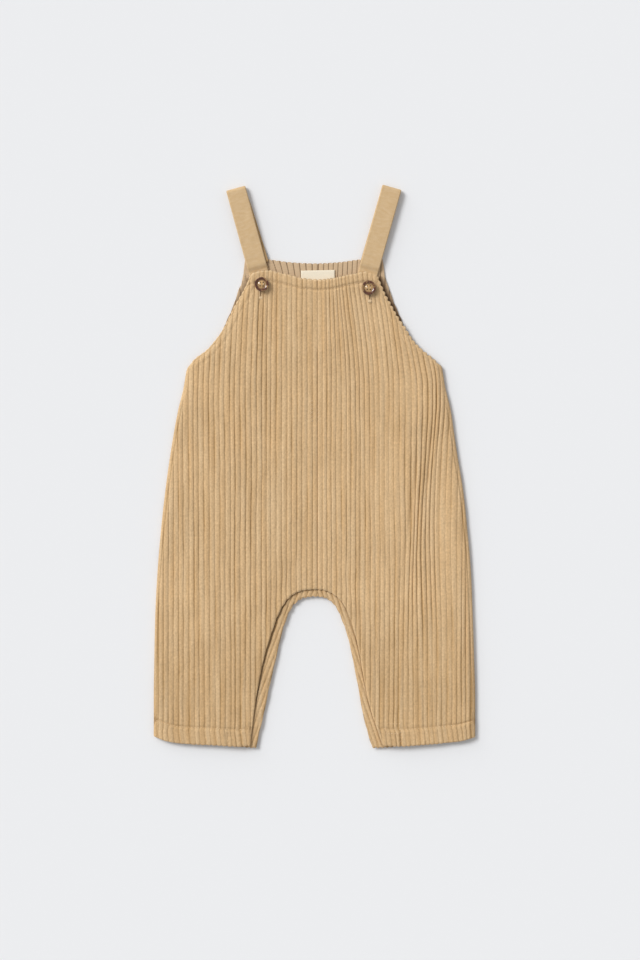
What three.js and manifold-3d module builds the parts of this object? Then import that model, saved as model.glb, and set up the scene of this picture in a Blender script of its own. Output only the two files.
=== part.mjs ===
// Baby's bib overalls in jumbo corduroy, laid flat on their back with the straps buttoned.
// Millimetres. +X is to the right of someone who looks down at the front, +Y runs towards the
// straps and +Z up from the surface. The origin is on the surface, at the middle of the garment.
import * as THREE from 'three';
import { mergeVertices } from 'three/addons/utils/BufferGeometryUtils.js';
import Module from 'manifold-3d';

const wasm = await Module();
wasm.setup();

// Driving dimensions
const SEAM_GAP = 0.3;
const SEAM_X = 3;
const BACK_WALL = 1.6;
const GROOVE_WALL = 1.3;
const WALE_HEIGHT = 1.0;
const LOFT = 2.6;
const ROLL_WIDTH = 13;
const HALF_LENGTH = 260;

const WALES = { left: 32, right: 33 };
const SIGN = { left: -1, right: 1 };

const LEG_HEM = { depth: 15.5, raise: 0.5 };
const BIB_HEM = { depth: 9, raise: 0.4 };
const ARMHOLE_HEM = { depth: 7, raise: 0.3 };
const STITCH_SINK = 0.5;

const FACING = { width: 20, wall: 1.2, waleHeight: 0.8, wales: 17, least: 1.5 };
const STRAP = { width: 18.3, thickness: 1.8, gap: 0.3, opened: 2.2, edge: 0.6 };
const STRAP_TURN_STEPS = 4;
const BUTTON = {
  radius: 6.45,
  thickness: 3.2,
  rim: 1.5,
  dish: 1.1,
  edge: 1.1,
  rounding: 0.35,
  holeRadius: 0.8,
  holeSpacing: 1.45,
};
const LABEL = { x: 3.3, y: 171.5, width: 31.4, height: 18.6, thickness: 1.0, turn: 0.02 };

const CLOTH = new THREE.MeshStandardMaterial({ color: 0xcbab80, roughness: 0.95, metalness: 0 });
const STRAP_CLOTH = new THREE.MeshStandardMaterial({ color: 0xd3b98f, roughness: 0.95, metalness: 0 });
const BUTTON_RESIN = new THREE.MeshStandardMaterial({ color: 0x7a4f38, roughness: 0.25, metalness: 0 });
const LABEL_CLOTH = new THREE.MeshStandardMaterial({ color: 0xeee4cf, roughness: 0.8, metalness: 0 });

// A row of a table, with its values under the names of the columns.
function table(columns, rows) {
  return rows.map((row) => Object.fromEntries(columns.map((name, i) => [name, row[i]])));
}

// Side seams from the leg up to the underarm: how far each is from the middle.
const SIDE_SEAM = table(['y', 'left', 'right'], [
  [-205, 148.5, 148.5],
  [-142, 147.5, 146.4],
  [-96, 145.2, 144.5],
  [-60, 142.2, 141.4],
  [-22, 138.2, 137.3],
  [15, 132.8, 131.2],
  [52, 126.3, 125.8],
  [89, 118.9, 117.9],
]);

// Armholes from the underarm up to the corner of the bib.
const FRONT_ARMHOLE = table(['y', 'left', 'right'], [
  [98, 112.6, 110.5],
  [107, 101.8, 100.6],
  [116.5, 93.0, 92.0],
  [126, 85.8, 84.8],
  [137, 79.8, 77.2],
  [147, 74.6, 71.6],
  [157, 68.3, 66.0],
  [168, 62.4, 61.2],
  [177, 58.4, 57.0],
]);
const BACK_ARMHOLE = table(['y', 'left', 'right'], [
  [98, 112.6, 110.5],
  [107, 101.8, 100.6],
  [118, 92.0, 90.4],
  [137, 81.0, 78.4],
  [145, 76.7, 75.2],
  [154, 73.4, 71.7],
  [163, 70.6, 67.5],
  [172, 67.3, 64.5],
  [191, 64.8, 62.0],
]);

// Top edges of the front bib and, behind it, of the back.
const BIB_TOP = table(['x', 'y'], [
  [-52, 179.6],
  [-43, 180.4],
  [-33, 178.3],
  [-22, 175.8],
  [-10.5, 172.8],
  [4, 171.7],
  [18, 173.2],
  [27.5, 175.5],
  [37.5, 177.4],
  [47.5, 179.3],
  [52, 178.9],
]);
const NECKLINE = table(['x', 'y'], [
  [-56, 191.6],
  [-43, 190.6],
  [-20, 187.8],
  [0, 186.9],
  [20, 187.8],
  [42, 190.6],
  [54, 191.6],
]);

// Leg hems, then the edge of the front's inseam and the arch of the back's, which lies further in.
const LEG_HEM_EDGE = {
  left: table(['x', 'y'], [
    [-148.5, -249.7],
    [-136, -254.3],
    [-122, -256.4],
    [-91, -257.8],
    [-71, -258.9],
  ]),
  right: table(['x', 'y'], [
    [148.5, -250.5],
    [134, -254.3],
    [113, -256.4],
    [95, -257.8],
    [80, -258.8],
  ]),
};
const FRONT_INSEAM = table(['y', 'left', 'right'], [
  [-258, 59.7, 63.4],
  [-244, 57.8, 58.4],
  [-228.5, 55.9, 52.9],
  [-210, 53.2, 48.2],
  [-190, 49.5, 44.4],
  [-174, 45.8, 41.6],
  [-156, 40.2, 37.6],
  [-138, 33.8, 31.8],
  [-128, 28.5, 27.0],
  [-121, 23.0, 21.0],
  [-116.5, 15.5, 13.8],
  [-114.6, 9.5, 9.0],
]);
const FRONT_CROTCH = table(['x', 'y'], [[0, -113.9], [6, -114.0]]);
const BACK_INSEAM = table(['y', 'left', 'right'], [
  [-260, 54.5, 54.5],
  [-244, 50.6, 48.7],
  [-226, 46.2, 44.2],
  [-207, 42.4, 41.0],
  [-189, 38.3, 37.5],
  [-170, 33.9, 33.8],
  [-152, 29.6, 29.2],
  [-142, 26.4, 25.5],
  [-133, 22.6, 21.7],
  [-126, 17.3, 16.6],
  [-121.5, 9.7, 9.6],
]);
const BACK_CROTCH = table(['x', 'y'], [[0, -120.3], [5, -120.5]]);

// How high the front's inside is held over the back's at its rolled edge, by distance from the
// middle: a strap keeps it up at the bib's corners, and at the side seams the two are sewn together.
const EDGE_LIFT = table(['x', 'lift'], [
  [0, LOFT],
  [56, LOFT],
  [66, 1.5],
  [80, 0.8],
  [119, SEAM_GAP],
  [149, SEAM_GAP],
]);

// Sideways travel of the front's wales at each height. They fan out below the top of the bib, and
// sweep outwards up to the underarm.
const BOW_COLUMNS = ['y', 'fan', 'sweep'];
const BOW = {
  left: table(BOW_COLUMNS, [
    [-85, 0, 0],
    [0, 0, 0.5],
    [55, 0, 1],
    [75, 0, 0.8],
    [100, -0.4, 0.4],
    [125, -1.2, 0],
    [145, -2.1, 0],
    [182, -4, 0],
  ]),
  right: table(BOW_COLUMNS, [
    [-85, 0, 0],
    [-40, 0, 0.5],
    [0, 0, 1.8],
    [30, 0, 3],
    [55, 0, 3.8],
    [75, -0.2, 3.8],
    [100, -1.8, 2],
    [125, -4.6, 0],
    [145, -7.4, 0],
    [165, -10.2, 0],
    [182, -12, 0],
  ]),
};
// How far out of the middle each begins and is full
const BOW_REACH = {
  left: { fan: [20, 60], sweep: [30, 95] },
  right: { fan: [0, 52], sweep: [72, 96] },
};

// Main folds of the front. A positive height is a soft ridge, a negative one a trough; lean is how
// far the fold goes sideways for each millimetre up, and draw is how much it pulls wales together.
const FOLDS = {
  left: table(['name', 'x', 'y', 'halfWidth', 'halfLength', 'lean', 'height', 'draw'], [
    ['underarm dent', -119, 26, 4, 30, 0, -1.0, 0],
    ['underarm bulge', -126, 32, 5, 20, 0.1, 0.5, 0],
    ['bib trough', -43, 60, 13, 110, 0, -0.5, 0.08],
    ['leg swell', -98, -150, 30, 80, 0, 0.4, 0],
    ['crotch pull', -32, -112, 9, 30, 0.5, -0.5, 0.12],
  ]),
  right: table(['name', 'x', 'y', 'halfWidth', 'halfLength', 'lean', 'height', 'draw'], [
    ['hip fold', 98, -38, 15, 95, 0.11, -1.0, 0.3],
    ['side ridge', 127, -62, 11, 100, 0.03, 0.7, -0.25],
    ['underarm crease', 125, 28, 3, 22, -0.1, -0.9, 0],
    ['leg swell', 100, -185, 28, 60, 0, 0.4, 0],
    ['crotch pull', 33, -116, 9, 30, -0.5, -0.5, 0.12],
  ]),
};

// The value at x of a smooth curve through [x, value] points with rising x, with no overshoot.
function curveThrough(points) {
  const last = points.length - 1;
  const rise = [];
  for (let i = 0; i < last; i += 1) {
    rise.push((points[i + 1][1] - points[i][1]) / (points[i + 1][0] - points[i][0]));
  }
  const slope = points.map((point, i) => {
    if (i === 0) return rise[0];
    if (i === last) return rise[last - 1];
    const before = rise[i - 1];
    const after = rise[i];
    return before * after <= 0 ? 0 : (2 * before * after) / (before + after);
  });
  return (x) => {
    let i = 0;
    while (i < last - 1 && x > points[i + 1][0]) i += 1;
    const [x0, y0] = points[i];
    const [x1, y1] = points[i + 1];
    const step = x1 - x0;
    const t = THREE.MathUtils.clamp((x - x0) / step, 0, 1);
    const t2 = t * t;
    const t3 = t2 * t;
    return (
      y0 * (2 * t3 - 3 * t2 + 1) + step * slope[i] * (t3 - 2 * t2 + t)
      + y1 * (3 * t2 - 2 * t3) + step * slope[i + 1] * (t3 - t2)
    );
  };
}

// An edge of one half of the garment as y over x, through every stretch of it that is given.
function edge(side, ...stretches) {
  const points = stretches.flat().map((row) => [row.x ?? SIGN[side] * row[side], row.y]);
  points.sort((a, b) => a[0] - b[0]);
  return curveThrough(points);
}

// Distance in plan from the rolled edge of one half: its side seam and its armhole.
function distanceFromRoll(side) {
  const rolled = [...SIDE_SEAM, ...FRONT_ARMHOLE].map(
    (row) => new THREE.Vector3(SIGN[side] * row[side], row.y),
  );
  rolled.unshift(new THREE.Vector3(rolled[0].x, -HALF_LENGTH));
  const line = new THREE.Line3();
  const nearest = new THREE.Vector3();
  return (x, y) => {
    const point = new THREE.Vector3(x, y);
    let least = Infinity;
    for (let i = 0; i < rolled.length - 1; i += 1) {
      line.set(rolled[i], rolled[i + 1]).closestPointToPoint(point, true, nearest);
      least = Math.min(least, nearest.distanceTo(point));
    }
    return least;
  };
}

// How much of a fold is felt at a point: 1 along its middle, 0 well away from it.
function foldAcross(fold, x, y) {
  const along = (y - fold.y) / fold.halfLength;
  const across = (x - fold.x - fold.lean * (y - fold.y)) / fold.halfWidth;
  return { across, reach: Math.exp(-across * across - along * along) };
}

// Rows of a column of points: close together at both edges, where the hems are, and even between.
// A plain panel has few.
const MIDDLE_ROWS = 12;
const BACK_ROWS = 5;
const FACING_ROWS = 3;
const HALVINGS = 24;
const HEM_STEPS = [0, 1.2, 14.5, 15.5, 16.5];
const BIB_STEPS = [0, 1.2, 8.2, 9, 9.8];
const SIDE_STEPS = [0, 3, 9, 22, 48];

function rows(low, high, highSteps) {
  const lowReach = HEM_STEPS.at(-1);
  const highReach = Math.min(highSteps.at(-1), 0.7 * (high - low - lowReach));
  const squeeze = highReach / highSteps.at(-1);
  const heights = HEM_STEPS.map((step) => low + step);
  const span = high - low - lowReach - highReach;
  for (let i = 1; i <= MIDDLE_ROWS; i += 1) {
    heights.push(low + lowReach + (span * i) / (MIDDLE_ROWS + 1));
  }
  for (const step of [...highSteps].reverse()) heights.push(high - step * squeeze);
  return heights;
}

// Where a wale, at x for each height, meets an edge of its panel.
function meetEdge(edgeCurve, waleX) {
  let [low, high] = [-HALF_LENGTH, HALF_LENGTH];
  for (let i = 0; i < HALVINGS; i += 1) {
    const middle = (low + high) / 2;
    if (middle < edgeCurve(waleX(middle))) low = middle;
    else high = middle;
  }
  return (low + high) / 2;
}

function evenRows(low, high, count) {
  return Array.from({ length: count }, (_, i) => low + ((high - low) * i) / (count - 1));
}

// A closed wall between two nets of points, lists of columns that run from the lower edge to the
// upper. The under net may have fewer columns, but its columns have as many points.
function wallBetween(over, under) {
  const points = [];
  const faces = [];
  const place = (net) => net.map((column) => column.map((point) => points.push(point) - 1));
  const top = place(over);
  const base = place(under);
  const height = top[0].length;
  const cover = (net, flip) => {
    for (let i = 0; i < net.length - 1; i += 1) {
      for (let j = 0; j < height - 1; j += 1) {
        const [a, b, c, d] = [net[i][j], net[i + 1][j], net[i + 1][j + 1], net[i][j + 1]];
        faces.push(flip ? [a, c, b] : [a, b, c], flip ? [a, d, c] : [a, c, d]);
      }
    }
  };
  cover(top, false);
  cover(base, true);
  for (let j = 0; j < height - 1; j += 1) {
    const [first, last] = [[top[0], base[0]], [top.at(-1), base.at(-1)]];
    faces.push([first[0][j + 1], first[1][j], first[0][j]]);
    faces.push([first[0][j + 1], first[1][j + 1], first[1][j]]);
    faces.push([last[0][j], last[1][j], last[0][j + 1]]);
    faces.push([last[1][j], last[1][j + 1], last[0][j + 1]]);
  }
  const ratio = (top.length - 1) / (base.length - 1);
  for (const [j, flip] of [[0, false], [height - 1, true]]) {
    const add = (a, b, c) => faces.push(flip ? [a, c, b] : [a, b, c]);
    for (let q = 0; q < base.length - 1; q += 1) {
      const middle = q * ratio + Math.ceil(ratio / 2);
      for (let i = q * ratio; i < (q + 1) * ratio; i += 1) {
        const foot = i < middle ? base[q][j] : base[q + 1][j];
        add(top[i][j], foot, top[i + 1][j]);
      }
      add(top[middle][j], base[q][j], base[q + 1][j]);
    }
  }
  const geometry = new THREE.BufferGeometry();
  geometry.setAttribute('position', new THREE.Float32BufferAttribute(points.flat(), 3));
  geometry.setIndex(faces.flat());
  geometry.computeVertexNormals();
  return geometry;
}

// Half of the front: bib and leg in one, wales raised on its outside.
function frontHalf(side) {
  const top = edge(side, SIDE_SEAM, FRONT_ARMHOLE, BIB_TOP);
  const bottom = edge(side, LEG_HEM_EDGE[side], FRONT_INSEAM, FRONT_CROTCH);
  const fromRoll = distanceFromRoll(side);
  const edgeLift = curveThrough(EDGE_LIFT.map((row) => [row.x, row.lift]));
  const seamX = SEAM_X + (SIGN[side] * SEAM_GAP) / 2;
  const sideX = SIGN[side] * SIDE_SEAM[0][side];
  const inseamX = FRONT_INSEAM[0][side];

  // Inside of the cloth, over the back
  const inside = (x, y) => {
    const roll = Math.min(fromRoll(x, y) / ROLL_WIDTH, 1);
    const rise = Math.sqrt(1 - (1 - roll) ** 2);
    const lift = THREE.MathUtils.lerp(edgeLift(Math.abs(x)), LOFT, rise);
    return BACK_WALL + lift;
  };
  // Outside of the cloth: hems, stitched sinks and folds, then the wales
  const outside = (x, y, wale) => {
    const onHem = Math.abs(x) > inseamX;
    const bands = [
      { inward: onHem ? y - bottom(x) : Infinity, ...LEG_HEM },
      { inward: Math.abs(x) < FRONT_ARMHOLE.at(-1)[side] ? top(x) - y : Infinity, ...BIB_HEM },
      { inward: y > SIDE_SEAM.at(-1).y ? fromRoll(x, y) : Infinity, ...ARMHOLE_HEM },
    ];
    let raise = 0;
    let sink = 0;
    for (const band of bands) {
      if (band.inward < band.depth) raise = Math.max(raise, band.raise);
      sink = Math.max(sink, STITCH_SINK * (1 - Math.min(Math.abs(band.inward - band.depth), 1)));
    }
    const folds = FOLDS[side].reduce((sum, fold) => sum + fold.height * foldAcross(fold, x, y).reach, 0);
    const roll = Math.min(fromRoll(x, y) / ROLL_WIDTH, 1);
    return inside(x, y) + GROOVE_WALL + raise - sink + folds * roll + wale * WALE_HEIGHT * (1 - sink);
  };
  // Wales are drawn together by the folds, and bow outwards at the underarm
  const bows = ['fan', 'sweep'].map((name) => ({
    travel: curveThrough(BOW[side].map((row) => [row.y, row[name]])),
    reach: BOW_REACH[side][name],
  }));
  const drawn = (x, y) => {
    const bowed = bows.reduce(
      (sum, { travel, reach }) => sum + travel(y) * THREE.MathUtils.smoothstep(Math.abs(x), ...reach),
      0,
    );
    const pull = FOLDS[side].reduce((sum, fold) => {
      const { across, reach } = foldAcross(fold, x, y);
      return sum - fold.draw * across * fold.halfWidth * reach;
    }, SIGN[side] * bowed);
    const toEdge = Math.min(Math.abs(x - seamX), Math.abs(x - sideX));
    return x + pull * Math.min(toEdge / ROLL_WIDTH, 1);
  };

  const column = (x, height) => {
    const low = meetEdge(bottom, (y) => drawn(x, y));
    const high = meetEdge(top, (y) => drawn(x, y));
    const steps = Math.abs(x) > FRONT_ARMHOLE[0][side] ? SIDE_STEPS : BIB_STEPS;
    return rows(low, high, steps).map((y) => {
      const moved = drawn(x, y);
      return [moved, y, height(moved, y)];
    });
  };
  const [firstX, lastX] = [Math.min(seamX, sideX), Math.max(seamX, sideX)];
  const columnX = (i, count) => THREE.MathUtils.lerp(firstX, lastX, i / count);
  const pointsAcross = 2 * WALES[side];
  const plainAcross = pointsAcross / 2;
  const over = [];
  for (let i = 0; i <= pointsAcross; i += 1) {
    over.push(column(columnX(i, pointsAcross), (x, y) => outside(x, y, i % 2)));
  }
  const under = [];
  for (let i = 0; i <= plainAcross; i += 1) {
    under.push(column(columnX(i, plainAcross), inside));
  }
  return wallBetween(over, under);
}

// Half of the back, plain on both sides: it rests flat, and its wrong side faces up.
function backHalf(side) {
  const top = edge(side, SIDE_SEAM, BACK_ARMHOLE, NECKLINE);
  const bottom = edge(side, LEG_HEM_EDGE[side], BACK_INSEAM, BACK_CROTCH);
  const seamX = SEAM_X + (SIGN[side] * SEAM_GAP) / 2;
  const sideX = SIGN[side] * SIDE_SEAM[0][side];
  const level = (z) => {
    const columns = [];
    for (let i = 0; i <= WALES[side]; i += 1) {
      const x = THREE.MathUtils.lerp(Math.min(seamX, sideX), Math.max(seamX, sideX), i / WALES[side]);
      columns.push(evenRows(bottom(x), top(x), BACK_ROWS).map((y) => [x, y, z]));
    }
    return columns;
  };
  return wallBetween(level(BACK_WALL), level(0));
}

// Facing of the back's inseam, turned in so that its pile side faces up under the front's edge.
function inseamFacing(side) {
  const bottom = edge(side, LEG_HEM_EDGE[side], BACK_INSEAM, BACK_CROTCH);
  const outer = BACK_INSEAM.map((row) => new THREE.Vector2(SIGN[side] * row[side], row.y));
  outer.push(new THREE.Vector2(BACK_CROTCH[0].x, BACK_CROTCH[0].y));
  // The inner edge runs at the facing's width from the arch
  const inner = outer.map((point, i) => {
    const before = outer[Math.max(i - 1, 0)];
    const after = outer[Math.min(i + 1, outer.length - 1)];
    const along = after.clone().sub(before).normalize();
    const inward = new THREE.Vector2(-along.y, along.x).multiplyScalar(-SIGN[side] * FACING.width);
    if (i === outer.length - 1) inward.set(0, FACING.width);
    return point.clone().add(inward);
  });
  const topPoints = inner.map((point) => [point.x, point.y]);
  topPoints.push([-SIGN[side] * 2 * SEAM_X, topPoints.at(-1)[1]]);
  topPoints.sort((a, b) => a[0] - b[0]);
  const top = curveThrough(topPoints);
  const seamX = SEAM_X + (SIGN[side] * SEAM_GAP) / 2;
  const hemX = inner[0].x;
  const under = BACK_WALL + SEAM_GAP;
  const net = (count, z) => {
    const columns = [];
    for (let i = 0; i <= count; i += 1) {
      const x = THREE.MathUtils.lerp(Math.min(seamX, hemX), Math.max(seamX, hemX), i / count);
      const low = bottom(x);
      const high = Math.max(top(x), low + FACING.least);
      columns.push(evenRows(low, high, FACING_ROWS).map((y) => [x, y, z(i)]));
    }
    return columns;
  };
  const over = net(2 * FACING.wales, (i) => under + FACING.wall + (i % 2) * FACING.waleHeight);
  return wallBetween(over, net(FACING.wales, () => under));
}

// Straps: the neck point is where the front layer crosses the back's neckline, lean is the angle
// from +Y and reach is how high the folded top comes. The rear layer ends on the back bib, and the
// front layer goes down behind the front bib.
const STRAPS = {
  left: { neckX: 54.3, lean: 15.3, reach: HALF_LENGTH - 1, rearShift: 2.6, endX: 45.5, endY: 152 },
  right: { neckX: 52.3, lean: 15.7, reach: HALF_LENGTH, rearShift: 0.4, endX: 47.6, endY: 149 },
};
const STRAP_NECK_Y = 188.7;
const STRAP_REAR_END = 186.5;

// The strap's middle line from its rear end, over the fold and down to its front end.
function strapPath(side) {
  const strap = STRAPS[side];
  const lean = THREE.MathUtils.degToRad(strap.lean);
  const foldY = strap.reach - (STRAP.width / 2) * Math.sin(lean);
  const lineX = (y) => strap.neckX + (y - STRAP_NECK_Y) * Math.tan(lean);
  const rearX = (y) => lineX(y) - (strap.rearShift * (foldY - y)) / (foldY - STRAP_NECK_Y);
  const half = STRAP.thickness / 2;
  const onBack = BACK_WALL + SEAM_GAP + half;
  const layers = STRAP.thickness + STRAP.gap;
  const path = [];
  const add = (x, y, z) => path.push(new THREE.Vector3(SIGN[side] * x, y, z));
  const rearZ = table(['y', 'z'], [[STRAP_REAR_END, onBack], [194, onBack], [203, half], [225, half]]);
  for (const { y, z } of rearZ) add(rearX(y), y, z);
  // Half a turn at the top, where the band springs open
  const turn = (layers + STRAP.opened) / 2;
  const turnY = foldY - (turn + half) * Math.cos(lean);
  for (let i = 0; i <= STRAP_TURN_STEPS; i += 1) {
    const angle = (Math.PI * i) / STRAP_TURN_STEPS;
    const y = turnY + turn * Math.sin(angle) * Math.cos(lean);
    add(lineX(y), y, half + turn - turn * Math.cos(angle));
  }
  const frontZ = table(['y', 'z'], [
    [225, half + layers + STRAP.opened],
    [206, half + layers + STRAP.opened],
    [195, onBack + layers],
    [185.5, onBack + layers],
    [180.4, onBack],
    [170, onBack],
  ]);
  for (const { y, z } of frontZ) add(lineX(y), y, z);
  add(strap.endX, strap.endY, onBack);
  return path;
}

// A band with a flat, slightly bevelled section along a path that runs up, turns over and comes down.
function band(path, across) {
  const [w, t, e] = [STRAP.width / 2, STRAP.thickness / 2, STRAP.edge];
  const section = [
    [-w, -t + e],
    [-w + e, -t],
    [w - e, -t],
    [w, -t + e],
    [w, t - e],
    [w - e, t],
    [-w + e, t],
    [-w, t - e],
  ];
  const rings = path.map((point, i) => {
    const [before, after] = [path[Math.max(i - 1, 0)], path[Math.min(i + 1, path.length - 1)]];
    const normal = across.clone().cross(after.clone().sub(before)).normalize();
    const corner = ([a, b]) => point.clone().addScaledVector(across, a).addScaledVector(normal, b);
    return section.map((offsets) => corner(offsets).toArray());
  });
  const count = section.length;
  const faces = [];
  for (let i = 0; i < rings.length - 1; i += 1) {
    for (let j = 0; j < count; j += 1) {
      const next = (j + 1) % count;
      const [a, b, c, d] = [i * count + j, i * count + next, (i + 1) * count + next, (i + 1) * count + j];
      faces.push([a, c, b], [a, d, c]);
    }
  }
  const end = (rings.length - 1) * count;
  for (let j = 1; j < count - 1; j += 1) faces.push([0, j, j + 1], [end, end + j + 1, end + j]);
  const geometry = new THREE.BufferGeometry();
  geometry.setAttribute('position', new THREE.Float32BufferAttribute(rings.flat(2), 3));
  geometry.setIndex(faces.flat());
  geometry.computeVertexNormals();
  return geometry;
}

function strap(side) {
  const lean = THREE.MathUtils.degToRad(STRAPS[side].lean);
  const across = new THREE.Vector3(Math.cos(lean), -SIGN[side] * Math.sin(lean), 0);
  return band(strapPath(side), across);
}

// Round button with a raised rim and a dished middle with four sewing holes.
function button() {
  const { radius, thickness, rim, dish, edge: side, rounding, holeRadius, holeSpacing } = BUTTON;
  const floor = thickness - dish;
  const profile = [
    [0, 0],
    [radius - side, 0],
    [radius, side],
    [radius, thickness - side],
    [radius - rounding, thickness - rounding],
    [radius - rim / 2, thickness],
    [radius - rim, thickness - rounding],
    [radius - rim - dish, floor],
    [0, floor],
  ].map(([r, z]) => new THREE.Vector2(r, z));
  const disc = solidOf(new THREE.LatheGeometry(profile, 32).rotateX(Math.PI / 2));
  const holes = [1, -1].flatMap((i) => [1, -1].map((j) => {
    const hole = new THREE.CylinderGeometry(holeRadius, holeRadius, 3 * thickness, 10).rotateX(Math.PI / 2);
    return solidOf(hole.translate(i * holeSpacing, j * holeSpacing, 0));
  }));
  return geometryOf(holes.reduce((solid, hole) => solid.subtract(hole), disc));
}

function solidOf(geometry) {
  geometry.deleteAttribute('normal');
  geometry.deleteAttribute('uv');
  const merged = mergeVertices(geometry, 1e-4);
  const vertProperties = new Float32Array(merged.attributes.position.array);
  const triVerts = new Uint32Array(merged.index.array);
  return new wasm.Manifold(new wasm.Mesh({ numProp: 3, vertProperties, triVerts }));
}

function geometryOf(solid) {
  const mesh = solid.getMesh();
  const geometry = new THREE.BufferGeometry();
  geometry.setAttribute('position', new THREE.BufferAttribute(mesh.vertProperties, 3));
  geometry.setIndex(new THREE.BufferAttribute(mesh.triVerts, 1));
  geometry.computeVertexNormals();
  return geometry;
}

const overalls = new THREE.Group();

function add(name, geometry, material) {
  const mesh = new THREE.Mesh(geometry, material);
  mesh.name = name;
  overalls.add(mesh);
  return mesh;
}

// The buttons lie on the wales of the bib's hem
const BUTTON_SEAT = BACK_WALL + LOFT + GROOVE_WALL + BIB_HEM.raise + WALE_HEIGHT + SEAM_GAP;
const BUTTON_PLACE = { left: [-48.6, 167.4], right: [50.1, 164.2] };

for (const side of ['left', 'right']) {
  add(`front_${side}`, frontHalf(side), CLOTH);
  add(`back_${side}`, backHalf(side), CLOTH);
  add(`facing_${side}`, inseamFacing(side), CLOTH);
  add(`strap_${side}`, strap(side), STRAP_CLOTH);
  add(`button_${side}`, button(), BUTTON_RESIN).position.set(...BUTTON_PLACE[side], BUTTON_SEAT);
}
const label = add('label', new THREE.BoxGeometry(LABEL.width, LABEL.height, LABEL.thickness), LABEL_CLOTH);
label.position.set(LABEL.x, LABEL.y, BACK_WALL + SEAM_GAP + LABEL.thickness / 2);
label.rotation.z = LABEL.turn;

export default overalls;
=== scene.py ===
"""Looks of a baby's bib overalls in jumbo corduroy, laid flat with the straps buttoned.

Lengths in the tables are millimetres, as on a pattern sheet; meshes are in metres. +X is to the
right of someone looking down at the front, +Y towards the straps, +Z up from the surface.
"""
import math

import bpy
import numpy as np
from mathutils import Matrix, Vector


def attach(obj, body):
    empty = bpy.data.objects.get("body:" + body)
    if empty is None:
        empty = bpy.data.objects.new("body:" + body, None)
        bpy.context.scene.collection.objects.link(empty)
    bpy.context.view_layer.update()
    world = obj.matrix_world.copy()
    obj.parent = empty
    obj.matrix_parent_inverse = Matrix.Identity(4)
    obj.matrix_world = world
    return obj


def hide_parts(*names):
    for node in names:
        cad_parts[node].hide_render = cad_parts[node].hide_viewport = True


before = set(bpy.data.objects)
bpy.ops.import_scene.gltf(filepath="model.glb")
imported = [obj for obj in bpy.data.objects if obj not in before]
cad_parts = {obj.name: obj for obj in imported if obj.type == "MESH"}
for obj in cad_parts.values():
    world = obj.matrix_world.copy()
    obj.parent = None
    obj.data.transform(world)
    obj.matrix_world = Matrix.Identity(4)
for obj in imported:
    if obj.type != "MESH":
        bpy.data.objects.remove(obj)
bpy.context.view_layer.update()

bl_info = {
    "name": "Corduroy Bib Overalls",
    "version": (1, 0, 0),
    "blender": (4, 5, 0),
    "location": "3D View > Sidebar > Overalls",
    "description": "Builds a baby's corduroy bib overalls, laid flat, with straps, buttons and stitching",
    "category": "Mesh",
}

MM = 0.001
SIDES = ("left", "right")
SIGN = {"left": -1, "right": 1}
BODY = "root"

# Walls of the garment
SEAM_GAP = 0.3
# The centre seam's place, and half of what shows of its gap
SEAM_X = 3.0
SEAM_SHOWN = 0.01
BACK_WALL = 1.6
GROOVE_WALL = 1.3
LOFT = 2.6
ROLL_WIDTH = 13.0
WALES = {"left": 32, "right": 33}
WALE_PITCH = 4.5
LEG_HEM_DEPTH = 15.5
# Height of the leg hem's edge, taken as level
HEM_Y = -257.0
BIB_HEM_DEPTH = 9.0
ARMHOLE_HEM_DEPTH = 7.0
FACING_WIDTH = 20.0
FACING_WALL = 1.2
FACING_WALES = 17
# Sideways travel of the facing's ribs for each millimetre up, and their pitch
FACING_LEAN = 0.36
FACING_PITCH = 4.4
# How far the front's edge gapes over the facing, all along it and where it stands off most; over that width
# the facing dips and gets painted shade
GAPE = {"left": (0.5, 1.5), "right": (0.35, 0.0)}
STRAP_WIDTH = 18.3
STRAP_THICKNESS = 1.8
STRAP_GAP = 0.3
# How far the folded strap springs open, added to the gap between its layers
STRAP_OPEN = 2.2
HALF_LENGTH = 260.0
# The underarms' distance from the middle
UNDERARM_X = 118
# Between these heights the bib's centre seam lies pressed flat, softly from one to the other
FLAT_SEAM = (104, 168)
FLAT_SEAM_BLEND = 10

# Side seams from the leg up to the underarm: y, then the distance of each from the middle
SIDE_SEAM = {
    "y": [-205, -142, -96, -60, -22, 15, 52, 74, 89, 92.5],
    "left": [148.5, 147.3, 144.9, 141.9, 137.7, 132.5, 125.9, 120.5, 118.0, 116.0],
    "right": [148.5, 146.4, 144.5, 141.4, 137.3, 131.2, 125.8, 120.6, 118.3, 117.3],
}
FRONT_ARMHOLE = {
    "y": [98, 107, 116.5, 126, 137, 147, 157, 168, 177],
    "left": [111.2, 99.6, 91.2, 84.4, 78.8, 74.0, 68.1, 62.4, 58.4],
    "right": [110.5, 99.8, 90.8, 84.6, 77.2, 71.6, 66.0, 61.2, 57.0],
}
BACK_ARMHOLE = {
    "y": [98, 107, 118, 137, 145, 154, 163, 172, 191],
    "left": [111.2, 99.6, 90.2, 79.8, 76.2, 72.9, 69.9, 66.4, 63.8],
    "right": [110.5, 99.8, 89.4, 79.4, 75.9, 72.1, 69.2, 65.7, 62.6],
}
BIB_TOP = {
    "x": [-52, -43, -33, -22, -10.5, 4, 18, 27.5, 37.5, 47.5, 52],
    "y": [179.6, 180.4, 178.3, 175.8, 172.8, 171.7, 173.2, 175.5, 177.4, 179.3, 178.9],
}
NECKLINE = {
    "x": [-56, -43, -20, 0, 20, 42, 54],
    "y": [191.6, 190.6, 187.8, 186.9, 187.8, 190.6, 191.6],
}
LEG_HEM_EDGE = {
    "left": {"x": [-148.5, -136, -122, -91, -71], "y": [-249.7, -254.3, -256.4, -257.8, -258.9]},
    "right": {"x": [148.5, 134, 113, 95, 80], "y": [-250.5, -254.3, -256.4, -257.8, -258.8]},
}
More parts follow.
